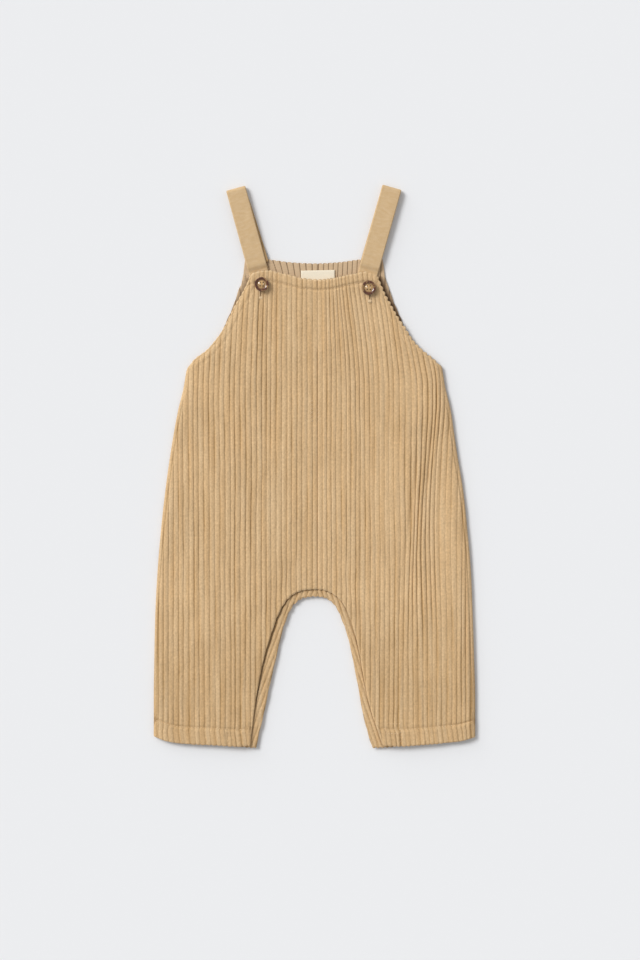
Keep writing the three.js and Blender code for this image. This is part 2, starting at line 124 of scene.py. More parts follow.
FRONT_INSEAM = {
    "y": [-258, -244, -228.5, -210, -190, -174, -156, -138, -128, -121, -116.5, -114.6],
    "left": [59.7, 57.8, 55.9, 53.2, 49.5, 45.8, 40.2, 33.8, 28.5, 23.0, 15.5, 9.5],
    "right": [63.4, 58.4, 52.9, 48.2, 44.4, 41.6, 37.6, 31.8, 27.0, 21.0, 13.8, 9.0],
}
FRONT_CROTCH = {"x": [0, 6], "y": [-113.9, -114.0]}
BACK_INSEAM = {
    "y": [-260, -244, -226, -207, -189, -170, -152, -142, -133, -126, -121.5],
    "left": [54.5, 50.6, 46.2, 42.4, 38.3, 33.9, 29.6, 26.4, 22.6, 17.3, 9.7],
    "right": [54.5, 48.7, 44.2, 41.0, 37.5, 33.8, 29.2, 25.5, 21.7, 16.6, 9.6],
}
BACK_CROTCH = {"x": [0, 5], "y": [-120.3, -120.5]}
EDGE_LIFT = {
    "x": [0, 56, 66, 80, 119, 149],
    "lift": [LOFT, LOFT, 1.5, 0.8, SEAM_GAP, SEAM_GAP],
}

# Folds and creases of the front. A positive height is a soft ridge, a negative one a trough; lean
# is sideways travel for each millimetre up, draw how much the fold pulls wales together.
FOLD_COLUMNS = ("x", "y", "half_width", "half_length", "lean", "height", "draw")
FOLDS = {
    "left": {
        "underarm dent": (-119, 26, 4, 30, 0, -1.0, 0),
        "underarm bulge": (-126, 32, 5, 20, 0.1, 0.5, 0),
        "bib trough": (-43, 60, 13, 110, 0, -0.5, 0.08),
        "leg swell": (-98, -150, 30, 80, 0, 0.4, 0),
        "crotch pull": (-32, -112, 9, 30, 0.5, -0.5, 0.12),
        "crease under the button": (-49.5, 130, 1.6, 34, 0.02, -1.1, 0.15),
        "hem sag": (-112, -232, 24, 16, 0, -0.4, 0),
        "thigh trough": (-74, -60, 12, 55, 0.1, -0.35, 0.05),
        "knee ridge": (-84, -196, 7, 34, -0.12, 0.3, -0.06),
        "side trough": (-133, -110, 5, 70, 0.03, -0.4, 0.08),
    },
    "right": {
        "hip fold": (98, -38, 15, 95, 0.11, -1.0, 0.3),
        "side ridge": (127, -62, 11, 100, 0.03, 0.7, -0.25),
        "underarm crease": (125, 28, 3, 22, -0.1, -0.9, 0),
        "leg swell": (100, -185, 28, 60, 0, 0.4, 0),
        "crotch pull": (33, -116, 9, 30, -0.5, -0.5, 0.12),
        "hip line one": (92, -22, 1.6, 46, 0.11, -0.7, 0),
        "hip line two": (104, -14, 1.6, 40, 0.11, -0.7, 0),
        "hip line three": (86, -62, 1.6, 30, 0.12, -0.5, 0),
        "side line": (139, -160, 2.0, 44, 0.03, -0.8, 0.1),
        "bib trough": (44, 60, 12, 90, 0, -0.4, 0.06),
        "armhole pucker": (88, 92, 9, 14, -0.5, -0.4, 0),
    },
}

# The wales fan out below the top of the bib, and sweep outwards up to the underarm: sideways
# travel at each height, and from how far out of the middle each begins and is full
BOW_Y = [-130, -85, -40, 0, 30, 55, 75, 100, 125, 145, 165, 182]
BOWS = {
    "left": (
        {"travel": [0, 0, 0, 0, 0, 0, 0, -0.4, -1.2, -2.1, -3.2, -4.0], "begins": 20, "full": 60},
        {"travel": [0, 0, 0.2, 0.5, 0.8, 1.0, 0.8, 0.4, 0, 0, 0, 0], "begins": 30, "full": 95},
    ),
    "right": (
        {"travel": [0, 0, 0, 0, 0, 0, -0.2, -1.8, -4.6, -7.4, -10.2, -12.0], "begins": 0, "full": 52},
        {"travel": [0, 0, 0.5, 1.8, 3.0, 3.8, 3.8, 2.0, 0, 0, 0, 0], "begins": 72, "full": 96},
    ),
}

# Patches where the pile is pressed flat or stands higher, its grooves' painted shade scaled with it: x, y,
# half width, half length, gain
PRESSED_COLUMNS = ("x", "y", "half_width", "half_length", "gain")
PRESSED = {
    "left": {
        "bib hem": (-30, 178, 60, 8, -0.3),
        "leg hem": (-105, -250, 60, 9, -0.35),
        "waist": (-80, 20, 30, 20, 0.15),
        "beside the button crease": (-64, 120, 9, 30, -0.25),
        "in the button crease": (-49.5, 126, 3.5, 34, 1.1),
        "under the button": (-54, 90, 7, 60, 0.4),
        "leg": (-60, -60, 14, 40, 0.25),
        "lower leg": (-100, -215, 40, 14, -0.25),
    },
    "right": {
        "bib hem": (30, 178, 60, 8, -0.3),
        "leg hem": (105, -250, 60, 9, -0.35),
        "under the armhole": (90, 63, 12, 16, -0.6),
        "side": (121, 22, 6, 9, -0.45),
        "hip fold": (99, -34, 11, 95, 1.35),
        "hip fold above": (115, 40, 7, 34, 0.8),
        "left of the hip fold": (68, -10, 14, 85, -0.55),
        "right of the hip fold": (122, -60, 10, 60, -0.62),
        "outer leg": (120, -170, 14, 50, -0.3),
        "lower leg": (96, -196, 26, 56, -0.2),
        "side crease": (139, -165, 5, 40, 0.6),
    },
}

# Straps: the front layer crosses the neckline at the neck point, lean is the angle from +Y, reach
# the height of the folded top, and the front end lies behind the bib.
STRAPS = {
    "left": {"neck_x": 54.3, "lean": 15.3, "reach": HALF_LENGTH - 1, "rear_shift": 2.6, "end": (45.5, 152)},
    "right": {"neck_x": 52.3, "lean": 15.7, "reach": HALF_LENGTH, "rear_shift": 0.4, "end": (47.6, 149)},
}
STRAP_NECK_Y = 188.7
# Rear layer of the strap: y, and how far it has climbed from the surface onto the back panel
REAR_HEIGHTS = ((186.5, 1), (190, 1), (194, 1), (198.5, 0.5), (203, 0), (214, 0), (225, 0), (240, 0))
# Bumps of the wales in the armhole's turned edge
ARMHOLE_PITCH = 5.2
# Radius of those bumps, and how far the panel's own edge lies inside them
BUMP = {"left": (0.8, 0.5), "right": (0.4, 1.4)}
BUMP_CLEAR = {"left": 0.4, "right": 1.1}
# How far the back's armhole lies inside the front's, and how dark the painted shade in the crevice between
# them is
ARMHOLE_CLEAR = {"left": 0.8, "right": 2.0}
CREVICE_SHADE = {"left": 0.45, "right": 0.92}
# The leg hem's facing is joined in a seam this far from the middle
HEM_JOINT = 79.8
# How much the hem's ribs lean, sideways travel for each millimetre down
HEM_LEAN = 0.11
BUTTON_PLACE = {"left": (-48.6, 167.4), "right": (50.1, 164.2)}
# The buttonhole's lower end: how far below the button's middle, and how far to its side
BUTTONHOLE_REACH = 12.5
BUTTONHOLE_SHIFT = {"left": -1.0, "right": 1.0}
# The button's face from the rim to the middle: width of each step, and its share of the dish
BUTTON_STEPS = ((0.4, 0.6), (0.6, 0.3), (0.8, 0.1), (0.4, -0.12), (0.5, -0.22), (0.7, -0.14))
# Radius of the thread that holds a button, and of the satin stitches round a buttonhole
BUTTON_THREAD = 0.2
SATIN_THREAD = 0.36
# Middle of the label, and its turn in radians
LABEL_PLACE = (3.3, 171.5)
LABEL_TURN = 0.02
# Box of stitches that tacks down the end of the right leg hem's facing seam
TACK_BOX = ((66, -238), (79, -238), (79, -247), (66, -247), (66, -238))
# What the camera looks at, and where the lights stand, all in metres
AIM = (0.0051, -0.013, 0.0)
KEY_PLACE = (-0.9, 0.62, 1.05)
WINDOW_PLACE = (-0.8, 0.8, 0.45)
# Height of the camera's sensor, in millimetres
SENSOR = 36.0
# Part of a stitch that lies on the cloth, between the needle holes
STITCH_SHOWN = 0.72


# Shape tools


# Enough halvings to bring the garment's length under a thousandth of a millimetre
HALVINGS = 24


def curve_through(xs, ys):
    """Smooth curve through points with rising x and no overshoot, as a function of an array."""
    order = np.argsort(xs)
    xs, ys = np.asarray(xs, float)[order], np.asarray(ys, float)[order]
    rise = np.diff(ys) / np.diff(xs)
    before, after = rise[:-1], rise[1:]
    with np.errstate(divide="ignore", invalid="ignore"):
        middle = np.where(before * after > 0, 2 * before * after / (before + after), 0.0)
    slope = np.concatenate(([rise[0]], middle, [rise[-1]]))

    def value(x):
        x = np.clip(np.asarray(x, float), xs[0], xs[-1])
        i = np.clip(np.searchsorted(xs, x) - 1, 0, len(xs) - 2)
        step = xs[i + 1] - xs[i]
        t = (x - xs[i]) / step
        return (
            ys[i] * (2 * t**3 - 3 * t**2 + 1) + step * slope[i] * (t**3 - 2 * t**2 + t)
            + ys[i + 1] * (3 * t**2 - 2 * t**3) + step * slope[i + 1] * (t**3 - t**2)
        )

    return value


def edge(side, *stretches):
    """An edge of one half as y over x, through every stretch of it that is given."""
    xs = [x for s in stretches for x in (s["x"] if "x" in s else SIGN[side] * np.array(s[side], float))]
    ys = [y for s in stretches for y in s["y"]]
    return curve_through(xs, ys)


def smooth_step(t):
    t = np.clip(t, 0.0, 1.0)
    return t * t * (3 - 2 * t)


def dip(distance, width):
    """A soft line: 1 along its middle, and gone two widths away."""
    return np.exp(-((distance / width) ** 2))


def edge_drop(distance, radius):
    """How far a round edge has come down, from 1 at the very edge to 0 a radius inside it."""
    return 1 - np.sqrt(1 - (1 - np.clip(distance / radius, 0, 1)) ** 2)


def distance_to(line_x, line_y, x, y):
    """Distance in plan from points to a line of straight pieces."""
    least = np.full(np.shape(x), 1e9)
    for x0, y0, x1, y1 in zip(line_x[:-1], line_y[:-1], line_x[1:], line_y[1:]):
        dx, dy = x1 - x0, y1 - y0
        t = np.clip(((x - x0) * dx + (y - y0) * dy) / max(dx * dx + dy * dy, 1e-9), 0, 1)
        least = np.minimum(least, np.hypot(x - x0 - t * dx, y - y0 - t * dy))
    return least


def plan_area(low, high, x0, x1):
    """Area in square metres between two edges, given in millimetres."""
    x = np.linspace(x0, x1, 800)
    return float(np.mean(high(x) - low(x)) * abs(x1 - x0)) * MM * MM


def soft_noise(x, y, size_x, size_y, seed):
    """Smooth random waves from -1 to 1, with swells of about the given size."""
    grid = np.random.default_rng(seed).uniform(-1, 1, (64, 64))
    u, v = np.asarray(x) / size_x, np.asarray(y) / size_y
    i, j = np.floor(u).astype(int), np.floor(v).astype(int)
    s, t = smooth_step(u - i), smooth_step(v - j)
    low = grid[i % 64, j % 64] * (1 - s) + grid[(i + 1) % 64, j % 64] * s
    high = grid[i % 64, (j + 1) % 64] * (1 - s) + grid[(i + 1) % 64, (j + 1) % 64] * s
    return low * (1 - t) + high * t


def bell(x, y, place):
    """How much of a fold or patch is felt at a point, and how far across it the point is."""
    lean = place.get("lean", 0)
    across = (x - place["x"] - lean * (y - place["y"])) / place["half_width"]
    along = (y - place["y"]) / place["half_length"]
    return across, np.exp(-across**2 - along**2)


def rows_of(columns, table):
    return [dict(zip(columns, values)) for values in table.values()]


# Points across a wale. The lower its roundness, the flatter is its crest; the gain is how much of
# its full height a worn, pressed wale keeps
WALE_POINTS = np.array([0.0, 0.06, 0.15, 0.30, 0.50, 0.70, 0.85, 0.94])
WALE_ROUNDNESS = 0.5
WALE_GAIN = 0.78


def wale_height(part, roundness=WALE_ROUNDNESS):
    """Height of a wale, from 0 to 1, at a part of its pitch."""
    return np.sin(np.pi * np.clip(part, 0, 1)) ** roundness


def wale_coordinates(count, points=WALE_POINTS):
    """Coordinates across a panel, one unit a wale, with a groove at every whole number."""
    return np.append((np.arange(count)[:, None] + points).ravel(), count)


def place_wales(wales, count, one_side, other_side):
    """Where wales lie that are spread evenly between the two sides of a panel."""
    return min(one_side, other_side) + abs(other_side - one_side) * wales / count


# How far in from an edge its first rows of points lie
EDGE_STEPS = (0, 0.25, 0.6, 1.1, 1.8, 2.7)


def place_rows(low, high, count, low_slope, high_slope):
    """Rows of points from a lower to an upper edge, close together where the edges round off."""
    near = np.array(EDGE_STEPS)
    low_steps = near[None, :] * low_slope[:, None]
    high_steps = near[None, :] * high_slope[:, None]
    low_end, high_end = low + low_steps[:, -1], high - high_steps[:, -1]
    t = np.linspace(0, 1, count - 2 * len(near) + 2)[1:-1]
    middle = low_end[:, None] + (high_end - low_end)[:, None] * t
    return np.hstack([low[:, None] + low_steps, middle, (high[:, None] - high_steps)[:, ::-1]])


def meet_edge(curve, x, drawn, low, high):
    """Where each wale, drawn sideways on its way up, meets an edge of the panel."""
    low, high = np.full_like(x, low), np.full_like(x, high)
    for _ in range(HALVINGS):
        middle = (low + high) / 2
        under = middle < curve(drawn(x, middle))
        low, high = np.where(under, middle, low), np.where(under, high, middle)
    return (low + high) / 2


def steepness(curve, x, most):
    """How much longer the way along y is than the way square to the edge."""
    slope = curve(x + 0.5) - curve(x - 0.5)
    factor = np.sqrt(1 + slope**2)
    kernel = np.ones(9) / 9
    return np.clip(np.convolve(np.pad(factor, 4, mode="edge"), kernel, mode="valid"), 1, most)


# Mesh tools


def mesh_object(name, points, faces, materials, uv=None, slots=None, **attributes):
    """Smooth mesh of points in millimetres, with a UV and other named values for each point."""
    mesh = bpy.data.meshes.new(name)
    mesh.from_pydata((points * MM).tolist(), [], faces)
    if uv is not None:
        corners = np.empty(len(mesh.loops), int)
        mesh.loops.foreach_get("vertex_index", corners)
        mesh.uv_layers.new(name="cloth").data.foreach_set("uv", uv[corners].ravel())
    for attribute, values in attributes.items():
        mesh.attributes.new(attribute, "FLOAT", "POINT").data.foreach_set("value", values.ravel())
    for material in materials:
        mesh.materials.append(material)
    if slots is not None:
        mesh.polygons.foreach_set("material_index", slots)
    mesh.polygons.foreach_set("use_smooth", np.ones(len(mesh.polygons), bool))
    mesh.validate()
    piece = bpy.data.objects.new(name, mesh)
    bpy.context.scene.collection.objects.link(piece)
    return piece


def tube_object(name, rings, material, uv, nap, inside_out=False):
    """Closed tube through rings of points."""
    n, m = rings.shape[:2]
    index = np.arange(n * m).reshape(n, m)
    beside = np.roll(index, -1, axis=1)
    quads = np.stack([k.ravel() for k in (index[:-1], index[1:], beside[1:], beside[:-1])], 1)
    ends = np.stack([index[0], index[-1][::-1]])
    if inside_out:
        quads, ends = quads[:, ::-1], ends[:, ::-1]
    return mesh_object(name, rings.reshape(-1, 3), quads.tolist() + ends.tolist(), [material], uv, nap=nap)


def wall_object(name, over, under, over_map, under_map, over_nap, under_nap, materials, rim=0):
    """Closed wall between two nets of points, lists of columns from the lower edge to the upper.

    The under net may have fewer columns. Maps hold a UV for each point, the values how high the pile is,
    with painted shade and highlight mixed in, and rim is which of the materials the edges wear.
    """
    n, height = over.shape[:2]
    m = under.shape[0]
    top = np.arange(n * height).reshape(n, height)
    base = n * height + np.arange(m * height).reshape(m, height)

    def grid(net, flip):
        a, b, c, d = net[:-1, :-1], net[1:, :-1], net[1:, 1:], net[:-1, 1:]
        order = (a, d, c, b) if flip else (a, b, c, d)
        return np.stack([k.ravel() for k in order], 1)

    quads = [grid(top, False), grid(base, True)]
    quads.append(np.stack([top[0, :-1], top[0, 1:], base[0, 1:], base[0, :-1]], 1))
    quads.append(np.stack([top[-1, 1:], top[-1, :-1], base[-1, :-1], base[-1, 1:]], 1))
    quads = np.vstack(quads)
    ratio = (n - 1) // (m - 1)
    fans = []
    for j, flip in ((0, False), (height - 1, True)):
        for q in range(m - 1):
            middle = q * ratio + (ratio + 1) // 2
            for i in range(q * ratio, (q + 1) * ratio):
                foot = base[q, j] if i < middle else base[q + 1, j]
                fan = (top[i, j], foot, top[i + 1, j])
                fans.append(fan if not flip else (fan[0], fan[2], fan[1]))
            corner = (top[middle, j], base[q, j], base[q + 1, j])
            fans.append(corner if not flip else (corner[0], corner[2], corner[1]))
    points = np.vstack([over.reshape(-1, 3), under.reshape(-1, 3)])
    faces = quads.tolist() + [list(map(int, fan)) for fan in fans]
    uv = np.vstack([over_map.reshape(-1, 2), under_map.reshape(-1, 2)])
    nap = np.concatenate([over_nap.ravel(), under_nap.ravel()])
    slots = np.full(len(faces), rim)
    over_faces = (n - 1) * (height - 1)
    slots[:over_faces] = 0
    slots[over_faces:over_faces + (m - 1) * (height - 1)] = len(materials) - 1
    return mesh_object(name, points, faces, materials, uv, slots, nap=nap)


def settle(piece, slot, *nodes):
    """Puts a finished piece on the body and hides the imported parts that it stands for; the slot is not
    used.
    """
    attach(piece, BODY)
    if nodes:
        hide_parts(*nodes)


def clear_selection():
    """Leaves edit mode and selects nothing."""
    if bpy.context.object and bpy.context.object.mode != "OBJECT":
        bpy.ops.object.mode_set(mode="OBJECT")
    bpy.ops.object.select_all(action="DESELECT")


# Materials


def linear(hex_colour):
    """A colour of the scene from its sRGB hex value."""
    channels = [int(hex_colour[i:i + 2], 16) / 255 for i in (0, 2, 4)]
    return tuple(c / 12.92 if c <= 0.04045 else ((c + 0.055) / 1.055) ** 2.4 for c in channels) + (1.0,)


def put(tree, kind, inputs=None, **settings):
    """Adds a shader node with its settings; an input is a value or the socket that feeds it."""
    node = tree.nodes.new(kind)
    for name, value in settings.items():
        setattr(node, name, value)
    for name, value in (inputs or {}).items():
        if isinstance(value, bpy.types.NodeSocket):
            tree.links.new(value, node.inputs[name])
        else:
            node.inputs[name].default_value = value
    return node


def new_material(name):
    material = bpy.data.materials.new(name)
    material.use_nodes = True
    material.node_tree.nodes.clear()
    return material, material.node_tree


def cloth_maps(tree):
    """What the cloths read: the piece's UV, its place, and how high the pile stands, with painted shade and
    highlight mixed in.
    """
    cloth = put(tree, "ShaderNodeUVMap", uv_map="cloth").outputs[0]
    place = put(tree, "ShaderNodeTexCoord").outputs["Object"]
    return cloth, place, put(tree, "ShaderNodeAttribute", attribute_name="nap").outputs["Fac"]


def finish_material(tree, finish):
    shader = put(tree, "ShaderNodeBsdfPrincipled", finish)
    put(tree, "ShaderNodeOutputMaterial", {"Surface": shader.outputs[0]})


def corduroy_pile(colours):
    """Cotton jumbo corduroy, cut pile: velvety ribs, matt and a little lighter where the pile tips catch the
    light, with worn ribs, brushed patches, painted highlight on open edges, and darker base cloth with
    painted shade down in the grooves."""
    material, tree = new_material("cotton_corduroy_pile")
    cloth, place, nap = cloth_maps(tree)
    # Each rib has its own tone over about 90 mm of its length; the map has one unit a wale
    rib_map = put(tree, "ShaderNodeMapping", {"Vector": cloth, "Scale": (0.9, 0.05, 1)}).outputs[0]
    rib_tone = put(tree, "ShaderNodeTexNoise", {"Vector": rib_map, "Scale": 1.0}).outputs["Fac"]
    # Brushed pile: tufts about 1.5 mm across and 2.5 mm along the rib
    tuft_map = put(tree, "ShaderNodeMapping", {"Vector": cloth, "Scale": (3.0, 2.0, 1)}).outputs[0]
    tufts = put(tree, "ShaderNodeTexNoise", {
        "Vector": tuft_map, "Scale": 1.0, "Detail": 3.0,
    }).outputs["Fac"]
    # Pile tips, 0.35 mm, as coarse as the render can show
    tips = put(tree, "ShaderNodeTexNoise", {"Vector": place, "Scale": 2800.0}).outputs["Fac"]
    # Broad swells of tone, about 45 mm
    broad = put(tree, "ShaderNodeTexNoise", {"Vector": place, "Scale": 22.0}).outputs["Fac"]
    # Brushed clumps about 8 mm across and 14 mm long
    clump_map = put(tree, "ShaderNodeMapping", {"Vector": cloth, "Scale": (0.55, 0.32, 1)}).outputs[0]
    clumps = put(tree, "ShaderNodeTexNoise", {
        "Vector": clump_map, "Scale": 1.0, "Detail": 3.0,
    }).outputs["Fac"]
    # Ground cloth in the grooves, darker still as painted shade, pile on the ribs, and tips where a rib's
    # pile is worn, and as painted highlight where the value climbs over 1 at open edges
    colour = linear(colours.ground_and_shade)
    for value, low, high, most, paler in (
        (nap, 0.0, 0.75, 1.0, colours.pile),
        (rib_tone, 0.35, 0.68, 0.5, colours.tips),
        (nap, 1.0, 1.4, 0.8, colours.tips),
    ):
        share = put(tree, "ShaderNodeMapRange", {0: value, 1: low, 2: high, 4: most}).outputs[0]
        colour = put(tree, "ShaderNodeMix", {
            0: share, 6: colour, 7: linear(paler),
        }, data_type="RGBA").outputs[2]
    shade = 1.0
    for layer, low, high in (
        (tufts, 0.86, 1.11), (tips, 0.90, 1.07), (broad, 0.96, 1.04), (clumps, 0.96, 1.04),
    ):
        gain = put(tree, "ShaderNodeMapRange", {0: layer, 1: 0.3, 2: 0.7, 3: low, 4: high}).outputs[0]
        shade = put(tree, "ShaderNodeMath", {0: shade, 1: gain}, operation="MULTIPLY").outputs[0]
    mix = put(tree, "ShaderNodeMix", {
        0: 1.0, 6: colour, 7: shade,
    }, data_type="RGBA", blend_type="MULTIPLY")
    relief = put(tree, "ShaderNodeMath", {0: tufts, 1: tips}, operation="ADD").outputs[0]
    bump = put(tree, "ShaderNodeBump", {
        "Strength": 0.6, "Distance": 0.0003, "Height": relief,
    }).outputs[0]
    finish_material(tree, {
        "Base Color": mix.outputs[2], "Roughness": 0.92, "Specular IOR Level": 0.2, "Sheen Weight": 0.25,
        "Sheen Roughness": 0.45, "Sheen Tint": linear("FFF0DC"), "Normal": bump,
    })
    return material


def corduroy_wrong_side(colours):
    """Wrong side of the corduroy: flat, greyer base weave with a thin dark line under each groove, and
    painted shade beside the front's armhole edge.
    """
    material, tree = new_material("cotton_corduroy_wrong_side")
    cloth, place, nap = cloth_maps(tree)
    # Weft floats about 0.9 mm apart
    weft_map = put(tree, "ShaderNodeMapping", {"Vector": cloth, "Scale": (1.2, 5.0, 1)}).outputs[0]
    weft = put(tree, "ShaderNodeTexNoise", {"Vector": weft_map, "Scale": 1.0}).outputs["Fac"]
    # Yarn hairs, 0.45 mm
    grain = put(tree, "ShaderNodeTexNoise", {"Vector": place, "Scale": 2200.0}).outputs["Fac"]
    # The lines' colour is also that of the painted shade beside the front's armhole edge
    line = put(tree, "ShaderNodeMapRange", {0: nap, 2: 0.5}).outputs[0]
    weave = {0: line, 6: linear(colours.wrong_side_line_and_shade), 7: linear(colours.wrong_side)}
    weave = put(tree, "ShaderNodeMix", weave, data_type="RGBA").outputs[2]
    shade = put(tree, "ShaderNodeMapRange", {0: weft, 1: 0.3, 2: 0.7, 3: 0.92, 4: 1.06}).outputs[0]
    mix = put(tree, "ShaderNodeMix", {
        0: 1.0, 6: weave, 7: shade,
    }, data_type="RGBA", blend_type="MULTIPLY")
    relief = put(tree, "ShaderNodeMath", {0: weft, 1: grain}, operation="ADD").outputs[0]
    bump = put(tree, "ShaderNodeBump", {
        "Strength": 0.5, "Distance": 0.0002, "Height": relief,
    }).outputs[0]
    finish_material(tree, {
        "Base Color": mix.outputs[2], "Roughness": 0.9, "Specular IOR Level": 0.2, "Normal": bump,
    })
    return material


def brushed_strap(colours):
    """The strap's cloth, cut across and brushed smooth: fine even pile with faint cross lines, and painted
    shade on the rear layer and in the sewn-edge hollows.
    """
    material, tree = new_material("cotton_strap_brushed")
    cloth, place, nap = cloth_maps(tree)
    # Faint lines across the band, 2.3 mm apart, and soft brushed streaks
    line_map = put(tree, "ShaderNodeMapping", {"Vector": cloth, "Scale": (1.5, 11.0, 1)}).outputs[0]
    lines = put(tree, "ShaderNodeTexNoise", {
        "Vector": line_map, "Scale": 1.0, "Detail": 3.0,
    }).outputs["Fac"]
    # Nap, 0.4 mm
    tips = put(tree, "ShaderNodeTexNoise", {"Vector": place, "Scale": 2600.0}).outputs["Fac"]
    share = put(tree, "ShaderNodeMapRange", {0: lines, 1: 0.3, 2: 0.7}).outputs[0]
    band = {0: share, 6: linear(colours.strap_shade), 7: linear(colours.strap)}
    band = put(tree, "ShaderNodeMix", band, data_type="RGBA").outputs[2]
    # Painted shade: where the value falls below 1, on the rear layer and in the sewn-edge hollows, the band
    # darkens towards the darker groove colour
    sewn = put(tree, "ShaderNodeMapRange", {0: nap, 3: 0.6, 4: 0.0}).outputs[0]
    band = put(tree, "ShaderNodeMix", {
        0: sewn, 6: band, 7: linear(colours.ground_and_shade),
    }, data_type="RGBA").outputs[2]
    shade = put(tree, "ShaderNodeMapRange", {0: tips, 1: 0.3, 2: 0.7, 3: 0.94, 4: 1.05}).outputs[0]
    mix = put(tree, "ShaderNodeMix", {
        0: 1.0, 6: band, 7: shade,
    }, data_type="RGBA", blend_type="MULTIPLY")
    relief = put(tree, "ShaderNodeMath", {0: lines, 1: tips}, operation="ADD").outputs[0]
    bump = put(tree, "ShaderNodeBump", {
        "Strength": 0.5, "Distance": 0.0002, "Height": relief,
    }).outputs[0]
    finish_material(tree, {
        "Base Color": mix.outputs[2], "Roughness": 0.9, "Specular IOR Level": 0.2, "Sheen Weight": 0.25,
        "Sheen Roughness": 0.4, "Sheen Tint": linear("FFF0DC"), "Normal": bump,
    })
    return material


def tortoise_resin(colours):
    """Polished polyester button resin, cast with swirls: amber in brown, clear coat gloss, sharp glints."""
    material, tree = new_material("polyester_resin_tortoise")
    place = put(tree, "ShaderNodeTexCoord").outputs["Object"]
    # Swirls about 5 mm across
    swirl = {"Vector": place, "Scale": 190.0, "Detail": 3.0, "Distortion": 1.2}
    swirl = put(tree, "ShaderNodeTexNoise", swirl).outputs["Fac"]
    ring = put(tree, "ShaderNodeAttribute", attribute_name="ring").outputs["Fac"]
    # Amber inside the brown rim, and streaks of it everywhere
    rim = put(tree, "ShaderNodeMapRange", {0: ring, 1: 0.45, 2: 0.72, 3: 1.0, 4: 0.0}).outputs[0]
    clear = put(tree, "ShaderNodeMapRange", {0: swirl, 1: 0.3, 2: 0.5, 3: 0.45}).outputs[0]
    inside = put(tree, "ShaderNodeMath", {0: clear, 1: rim}, operation="MULTIPLY").outputs[0]
    streaks = put(tree, "ShaderNodeMapRange", {0: swirl, 1: 0.5, 2: 0.62, 4: 0.5}).outputs[0]
    amber = put(tree, "ShaderNodeMath", {0: inside, 1: streaks}, operation="MAXIMUM").outputs[0]
    mix = {0: amber, 6: linear(colours.button_dark), 7: linear(colours.button_amber)}
    mix = put(tree, "ShaderNodeMix", mix, data_type="RGBA").outputs[2]
    finish_material(tree, {
        "Base Color": mix, "Roughness": 0.16, "IOR": 1.54, "Coat Weight": 0.6, "Coat Roughness": 0.06,
        "Subsurface Weight": 0.12, "Subsurface Radius": (0.004, 0.002, 0.001), "Subsurface Scale": 0.4,
    })
    return material


def sewing_thread(colours):
    """Spun polyester thread: matt, with the twist of its plies as fine slanted light and dark."""
    material, tree = new_material("spun_polyester_thread")
    place = put(tree, "ShaderNodeTexCoord").outputs["Object"]
    # Plies 0.4 mm apart
    ply = put(tree, "ShaderNodeTexNoise", {
        "Vector": place, "Scale": 2400.0, "Detail": 1.0,
    }).outputs["Fac"]
    share = put(tree, "ShaderNodeMapRange", {0: ply, 1: 0.3, 2: 0.7}).outputs[0]
    mix = {0: share, 6: linear(colours.thread_shade), 7: linear(colours.thread)}
    mix = put(tree, "ShaderNodeMix", mix, data_type="RGBA").outputs[2]
    bump = put(tree, "ShaderNodeBump", {"Strength": 0.4, "Distance": 0.0001, "Height": ply}).outputs[0]
    finish_material(tree, {"Base Color": mix, "Roughness": 0.6, "Sheen Weight": 0.1, "Normal": bump})
    return material


def woven_tape(colours):
    """Woven cotton label tape: cream, fine crossed threads 0.5 mm apart, slightly silky."""
    material, tree = new_material("cotton_label_tape_woven")
    cloth = put(tree, "ShaderNodeUVMap", uv_map="cloth").outputs[0]
    threads = {"Vector": cloth, "Scale": 10.0, "Distortion": 1.0}
    warp, weft = (put(tree, "ShaderNodeTexWave", threads, bands_direction=way).outputs["Fac"] for way in "XY")
    weave = put(tree, "ShaderNodeMath", {0: warp, 1: weft}, operation="ADD").outputs[0]
    share = put(tree, "ShaderNodeMapRange", {0: weave, 2: 2.0}).outputs[0]
    mix = {0: share, 6: linear(colours.label_shade), 7: linear(colours.label)}
    mix = put(tree, "ShaderNodeMix", mix, data_type="RGBA").outputs[2]
    bump = put(tree, "ShaderNodeBump", {
        "Strength": 0.4, "Distance": 0.0001, "Height": weave,
    }).outputs[0]
    finish_material(tree, {"Base Color": mix, "Roughness": 0.6, "Sheen Weight": 0.15, "Normal": bump})
    return material


def painted_board(colours):
    """Studio board under the garment: even, matt, almost white paint."""
    material, tree = new_material("matt_painted_board")
    finish_material(tree, {
        "Base Color": linear(colours.board), "Roughness": 0.9, "Specular IOR Level": 0.1,
    })
    return material


def shared(name, maker):
    """A material that several pieces wear, made once."""
    return bpy.data.materials.get(name) or maker(bpy.context.scene.overalls_colours)


def pile():
    return shared("cotton_corduroy_pile", corduroy_pile)


def wrong_side():
    return shared("cotton_corduroy_wrong_side", corduroy_wrong_side)


# Cloth panels


